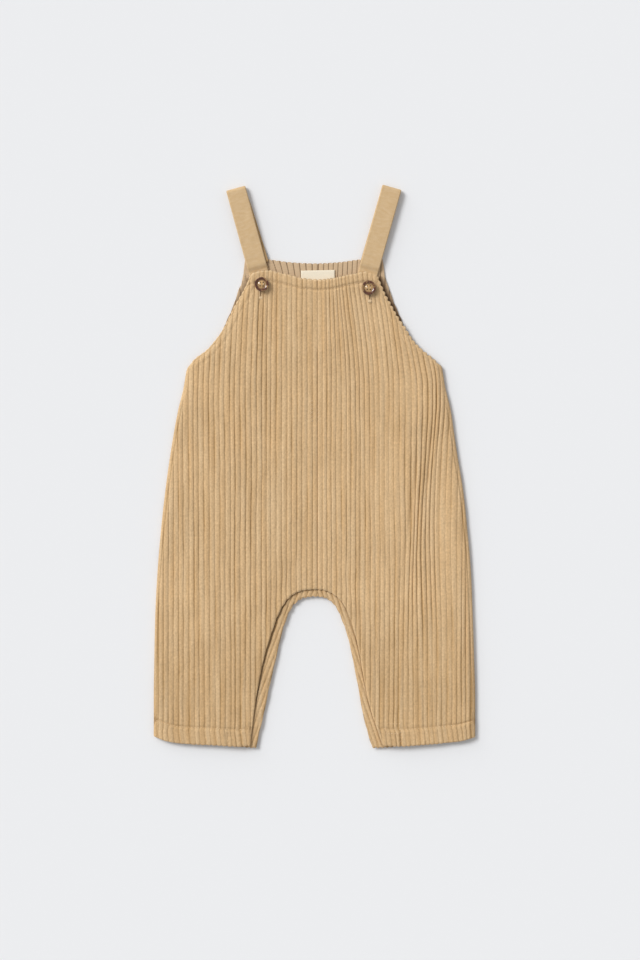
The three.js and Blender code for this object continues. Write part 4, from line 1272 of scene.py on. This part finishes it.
def build_button(side, sizes):
    """Four-hole resin button turned with a raised rim, a step and a shallow dish, sewn through."""
    x, y = (c * MM for c in BUTTON_PLACE[side])
    low, high = sizes.seat, sizes.seat + sizes.thickness
    clear_selection()
    bpy.ops.mesh.primitive_cylinder_add(
        vertices=72, radius=sizes.radius, depth=sizes.thickness, location=(x, y, (low + high) / 2)
    )
    button = bpy.context.object
    button.name = f"button_{side}_body"
    bpy.ops.object.transform_apply(location=True, rotation=True, scale=True)
    bpy.ops.object.mode_set(mode="EDIT")
    bpy.ops.mesh.select_mode(type="FACE")
    bpy.ops.mesh.select_all(action="DESELECT")
    bpy.ops.object.mode_set(mode="OBJECT")
    for polygon in button.data.polygons:
        polygon.select = polygon.normal.z > 0.9
    bpy.ops.object.mode_set(mode="EDIT")
    bpy.ops.mesh.inset(thickness=sizes.rim, depth=0)
    for width, drop in BUTTON_STEPS:
        bpy.ops.mesh.inset(thickness=width * MM, depth=-sizes.dish * drop)
    bpy.ops.object.mode_set(mode="OBJECT")
    for dx in (-1, 1):
        for dy in (-1, 1):
            clear_selection()
            place = (x + dx * sizes.hole_spacing, y + dy * sizes.hole_spacing, (low + high) / 2)
            bpy.ops.mesh.primitive_cylinder_add(
                vertices=24, radius=sizes.hole, depth=sizes.thickness * 2, location=place
            )
            drill = bpy.context.object
            clear_selection()
            button.select_set(True)
            bpy.context.view_layer.objects.active = button
            cut = button.modifiers.new("hole", "BOOLEAN")
            cut.operation, cut.object, cut.solver = "DIFFERENCE", drill, "EXACT"
            bpy.ops.object.modifier_apply(modifier=cut.name)
            bpy.data.objects.remove(drill)
    clear_selection()
    button.select_set(True)
    bpy.context.view_layer.objects.active = button
    rounding = button.modifiers.new("rounding", "BEVEL")
    rounding.width, rounding.segments, rounding.limit_method = 0.42 * MM, 4, "ANGLE"
    rounding.angle_limit = math.radians(28)
    bpy.ops.object.modifier_apply(modifier=rounding.name)
    bpy.ops.object.shade_smooth_by_angle(angle=math.radians(35))
    button.data.materials.clear()
    button.data.materials.append(shared("polyester_resin_tortoise", tortoise_resin))
    points = np.array([v.co[:] for v in button.data.vertices]) - (x, y, 0)
    ring = button.data.attributes.new("ring", "FLOAT", "POINT")
    ring.data.foreach_set("value", np.hypot(points[:, 0], points[:, 1]) / sizes.radius)
    settle(button, "button_resin", f"button_{side}")
    middle_x, middle_y = BUTTON_PLACE[side]
    spacing = sizes.hole_spacing / MM
    floor = (high - sizes.dish * 0.55) / MM
    runs = []
    for dx in (-1, 1):
        for shift in (-0.2, 0.2):
            t = np.linspace(-1, 1, 7)
            z = floor + np.array([-1.2, -0.1, 0.15, 0.2, 0.15, -0.1, -1.2])
            across = np.full(7, middle_x + dx * spacing + shift)
            runs.append(np.stack([across, middle_y + t * spacing, z], 1))
    thread = thread_mesh(f"button_thread_{side}", runs, BUTTON_THREAD)
    settle(thread, "button_resin")
    return button


def build_label(sizes):
    """Blank woven neck label: a folded tape lying on the back's inside, half under the bib."""
    x0, y0 = LABEL_PLACE
    width, height = sizes.width / MM, sizes.height / MM
    cosine, sine = math.cos(LABEL_TURN), math.sin(LABEL_TURN)
    u, v = np.meshgrid(np.linspace(-0.5, 0.5, 41), np.linspace(-0.5, 0.5, 25), indexing="ij")

    def face(z):
        x, y = u * width, v * height
        return np.stack([x0 + x * cosine - y * sine, y0 + x * sine + y * cosine, z], 2)

    base = BACK_WALL + SEAM_GAP
    inward = np.minimum(0.5 - np.abs(u), (0.5 - np.abs(v)) * height / width) * width
    waves = soft_noise(u * width + 50, v * height + 50, 9, 6, 51)
    upper = base + 1.0 - 0.35 * edge_drop(inward, 1.0) - 0.10 * waves**2
    cloth, even = np.stack([u * width, v * height], 2), np.ones_like(u)
    tape = shared("cotton_label_tape_woven", woven_tape)
    piece = wall_object(
        "label_tape_cloth", face(upper), face(np.full_like(u, base)), cloth, cloth, even, even, [tape]
    )
    settle(piece, "label_tape", "label")
    return piece


# Settings


def length(name, about, value):
    return bpy.props.FloatProperty(name=name, description=about, default=value, unit="LENGTH")


def number(name, about, value):
    return bpy.props.FloatProperty(name=name, description=about, default=value)


def count(name, about, value):
    return bpy.props.IntProperty(name=name, description=about, default=value)


class OverallsCloth(bpy.types.PropertyGroup):
    """Sizes of the corduroy and of its mesh"""

    wale_height: length("Wale height", "How far a rib's crest stands over its groove", 1.0 * MM)
    scallop: length("Scallop", "How far a cut edge swells out at each rib", 1.3 * MM)
    pressed_depth: length("Pressed groove", "Depth of the grooves on the side that lies down", 0.55 * MM)
    front_rows: count("Front rows", "Points along each rib of the front", 300)
    back_rows: count("Back rows", "Points along each rib of the back", 190)
    facing_rows: count("Facing rows", "Points along each rib of the facings", 60)


class OverallsSewing(bpy.types.PropertyGroup):
    """Sizes of the stitching"""

    thread: length("Thread", "Thickness of the sewing thread", 0.45 * MM)
    stitch: length("Stitch", "From one needle hole to the next but one", 2.8 * MM)


class OverallsButton(bpy.types.PropertyGroup):
    """Sizes of the buttons"""

    radius: length("Radius", "Half the button's diameter", 6.45 * MM)
    thickness: length("Thickness", "From the underside to the top of the rim", 3.2 * MM)
    seat: length("Seat", "Height of the button's underside over the surface", 7.2 * MM)
    rim: length("Rim", "Width of the raised rim", 1.3 * MM)
    dish: length("Dish", "How far the middle lies below the rim", 1.1 * MM)
    hole: length("Hole", "Radius of each sewing hole", 0.7 * MM)
    hole_spacing: length("Hole spacing", "From the middle to each hole, along x and along y", 1.45 * MM)


class OverallsLabel(bpy.types.PropertyGroup):
    """Sizes of the blank neck label"""

    width: length("Width", "Across the neck", 31.4 * MM)
    height: length("Height", "From its fold to its sewn edge", 18.6 * MM)


def hue(name, about, value):
    return bpy.props.StringProperty(name=name, description=about, default=value)


class OverallsColours(bpy.types.PropertyGroup):
    """Colours as sRGB hex values"""

    pile: hue("Pile", "Pile of the ribs", "CFAC7F")
    tips: hue("Pile tips", "Rib where the tips catch the light", "DABF99")
    # The groove colour: partly the base cloth's own and partly painted shade; the straps' painted shade
    # darkens towards it too
    ground_and_shade: hue("Ground", "Cloth at the bottom of the grooves", "A58150")
    wrong_side: hue("Wrong side", "Inside of the back", "CBB08F")
    # This colour is also that of the painted shade beside the front's armhole edge
    wrong_side_line_and_shade: hue("Wrong side line", "Thin lines under the grooves", "5E4630")
    strap: hue("Strap", "Straps", "D2B68F")
    strap_shade: hue("Strap shade", "Straps between the cross lines", "CAAB80")
    thread: hue("Thread", "Sewing thread", "EBD2AC")
    thread_shade: hue("Thread, shade", "Between the plies of the thread", "CDAB7E")
    button_dark: hue("Button, dark", "Brown of the resin", "54291A")
    button_amber: hue("Button, amber", "Amber of the resin", "C6A06A")
    label: hue("Label", "Cream of the label tape", "F2E8D4")
    label_shade: hue("Label shade", "Between the label's threads", "E6D9C0")
    board: hue("Board", "Board under the garment", "EAEBED")


class OverallsStage(bpy.types.PropertyGroup):
    """Camera and light"""

    view_length: length("View length", "What the camera shows, from bottom to top", 888 * MM)
    lens: number("Lens", "Focal length of the camera, in millimetres", 100.0)
    key_strength: number("Key light", "Strength of the soft light from the upper left", 2.05)
    key_softness: number("Key softness", "Width of the key light, in degrees", 24.0)
    window_strength: number("Window light", "Strength of the low, broad light", 0.8)
    window_softness: number("Window softness", "Width of the low light, in degrees", 44.0)
    sky_strength: number("Sky", "Strength of the light from all round", 0.475)


class Sewn:
    """Sizes that the sewing takes from two groups of settings."""

    def __init__(self, scene):
        self.wale_height = scene.overalls_cloth.wale_height
        self.thread = scene.overalls_sewing.thread
        self.stitch = scene.overalls_sewing.stitch


# Operators


class PieceOperator:
    """What the operators that build pieces share."""

    bl_options = {"REGISTER", "UNDO"}

    def execute(self, context):
        self.build(context.scene)
        return {"FINISHED"}


class OVERALLS_OT_fronts(PieceOperator, bpy.types.Operator):
    """Builds the two halves of the front"""

    bl_idname = "overalls.fronts"
    bl_label = "Fronts"

    def build(self, scene):
        for side in SIDES:
            build_front(side, scene.overalls_cloth)
            build_turned_edge(side, scene.overalls_cloth)


class OVERALLS_OT_backs(PieceOperator, bpy.types.Operator):
    """Builds the two halves of the back"""

    bl_idname = "overalls.backs"
    bl_label = "Backs"

    def build(self, scene):
        for side in SIDES:
            build_back(side, scene.overalls_cloth)


class OVERALLS_OT_facings(PieceOperator, bpy.types.Operator):
    """Builds the inseam facings"""

    bl_idname = "overalls.facings"
    bl_label = "Inseam facings"

    def build(self, scene):
        for side in SIDES:
            build_facing(side, scene.overalls_cloth)


class OVERALLS_OT_straps(PieceOperator, bpy.types.Operator):
    """Builds the folded straps"""

    bl_idname = "overalls.straps"
    bl_label = "Straps"

    def build(self, scene):
        for side in SIDES:
            build_strap(side)


class OVERALLS_OT_sewing(PieceOperator, bpy.types.Operator):
    """Builds the hem stitching, the centre stitches and the buttonholes"""

    bl_idname = "overalls.sewing"
    bl_label = "Sewing"

    def build(self, scene):
        sizes = Sewn(scene)
        for side in SIDES:
            build_hem_stitching(side, sizes)
            build_buttonhole(side, sizes)
        build_centre_stitching(sizes)


class OVERALLS_OT_buttons(PieceOperator, bpy.types.Operator):
    """Builds the two buttons with their sewing thread"""

    bl_idname = "overalls.buttons"
    bl_label = "Buttons"

    def build(self, scene):
        for side in SIDES:
            build_button(side, scene.overalls_button)


class OVERALLS_OT_label(PieceOperator, bpy.types.Operator):
    """Builds the blank neck label"""

    bl_idname = "overalls.label"
    bl_label = "Label"

    def build(self, scene):
        build_label(scene.overalls_label)


class OVERALLS_OT_stage(bpy.types.Operator):
    """Builds the board, the soft light from the upper left and the camera straight above"""

    bl_idname = "overalls.stage"
    bl_label = "Stage"
    bl_options = {"REGISTER", "UNDO"}

    def execute(self, context):
        scene = context.scene
        sizes = scene.overalls_stage
        clear_selection()
        bpy.ops.mesh.primitive_plane_add(size=12, location=(0, 0, -0.0002))
        board = bpy.context.object
        board.name = "board"
        board.data.materials.append(shared("matt_painted_board", painted_board))
        view = bpy.data.cameras.new("camera_above")
        view.sensor_fit, view.sensor_height, view.lens = "VERTICAL", SENSOR, sizes.lens
        camera = bpy.data.objects.new("camera_above", view)
        camera.location = Vector(AIM) + Vector((0, 0, sizes.view_length * sizes.lens / SENSOR))
        scene.collection.objects.link(camera)
        scene.camera = camera
        for name, place, strength, softness in (
            ("key", KEY_PLACE, sizes.key_strength, sizes.key_softness),
            ("window", WINDOW_PLACE, sizes.window_strength, sizes.window_softness),
        ):
            light = bpy.data.lights.new(name, "SUN")
            light.energy, light.angle = strength, math.radians(softness)
            lamp = bpy.data.objects.new(name, light)
            lamp.location = place
            lamp.rotation_euler = (-lamp.location).to_track_quat("-Z", "Y").to_euler()
            scene.collection.objects.link(lamp)
        world = bpy.data.worlds.new("soft_sky")
        world.use_nodes = True
        sky = world.node_tree.nodes["Background"]
        sky.inputs["Color"].default_value = linear("FFFFFF")
        sky.inputs["Strength"].default_value = sizes.sky_strength
        scene.world = world
        scene.view_settings.view_transform = "Standard"
        return {"FINISHED"}


class OVERALLS_PT_panel(bpy.types.Panel):
    """Settings and builders of the overalls"""

    bl_idname = "OVERALLS_PT_panel"
    bl_label = "Corduroy Bib Overalls"
    bl_space_type = "VIEW_3D"
    bl_region_type = "UI"
    bl_category = "Overalls"

    def draw(self, context):
        for group, (_, heading) in GROUPS.items():
            box = self.layout.box()
            box.label(text=heading)
            settings = getattr(context.scene, group)
            for name in settings.__annotations__:
                box.prop(settings, name)
        for operator in OPERATORS:
            self.layout.operator(operator.bl_idname)


GROUPS = {
    "overalls_cloth": (OverallsCloth, "Cloth"),
    "overalls_sewing": (OverallsSewing, "Sewing"),
    "overalls_button": (OverallsButton, "Buttons"),
    "overalls_label": (OverallsLabel, "Label"),
    "overalls_colours": (OverallsColours, "Colours"),
    "overalls_stage": (OverallsStage, "Camera and light"),
}
OPERATORS = (
    OVERALLS_OT_fronts,
    OVERALLS_OT_backs,
    OVERALLS_OT_facings,
    OVERALLS_OT_straps,
    OVERALLS_OT_sewing,
    OVERALLS_OT_buttons,
    OVERALLS_OT_label,
    OVERALLS_OT_stage,
)


def register():
    for name, (group, _) in GROUPS.items():
        bpy.utils.register_class(group)
        setattr(bpy.types.Scene, name, bpy.props.PointerProperty(type=group))
    for operator in OPERATORS:
        bpy.utils.register_class(operator)
    bpy.utils.register_class(OVERALLS_PT_panel)


def unregister():
    bpy.utils.unregister_class(OVERALLS_PT_panel)
    for operator in reversed(OPERATORS):
        bpy.utils.unregister_class(operator)
    for name, (group, _) in reversed(GROUPS.items()):
        delattr(bpy.types.Scene, name)
        bpy.utils.unregister_class(group)


def main():
    register()
    bpy.ops.overalls.fronts()
    bpy.ops.overalls.backs()
    bpy.ops.overalls.facings()
    bpy.ops.overalls.straps()
    bpy.ops.overalls.sewing()
    bpy.ops.overalls.buttons()
    bpy.ops.overalls.label()
    bpy.ops.overalls.stage()


if __name__ == "__main__":
    main()
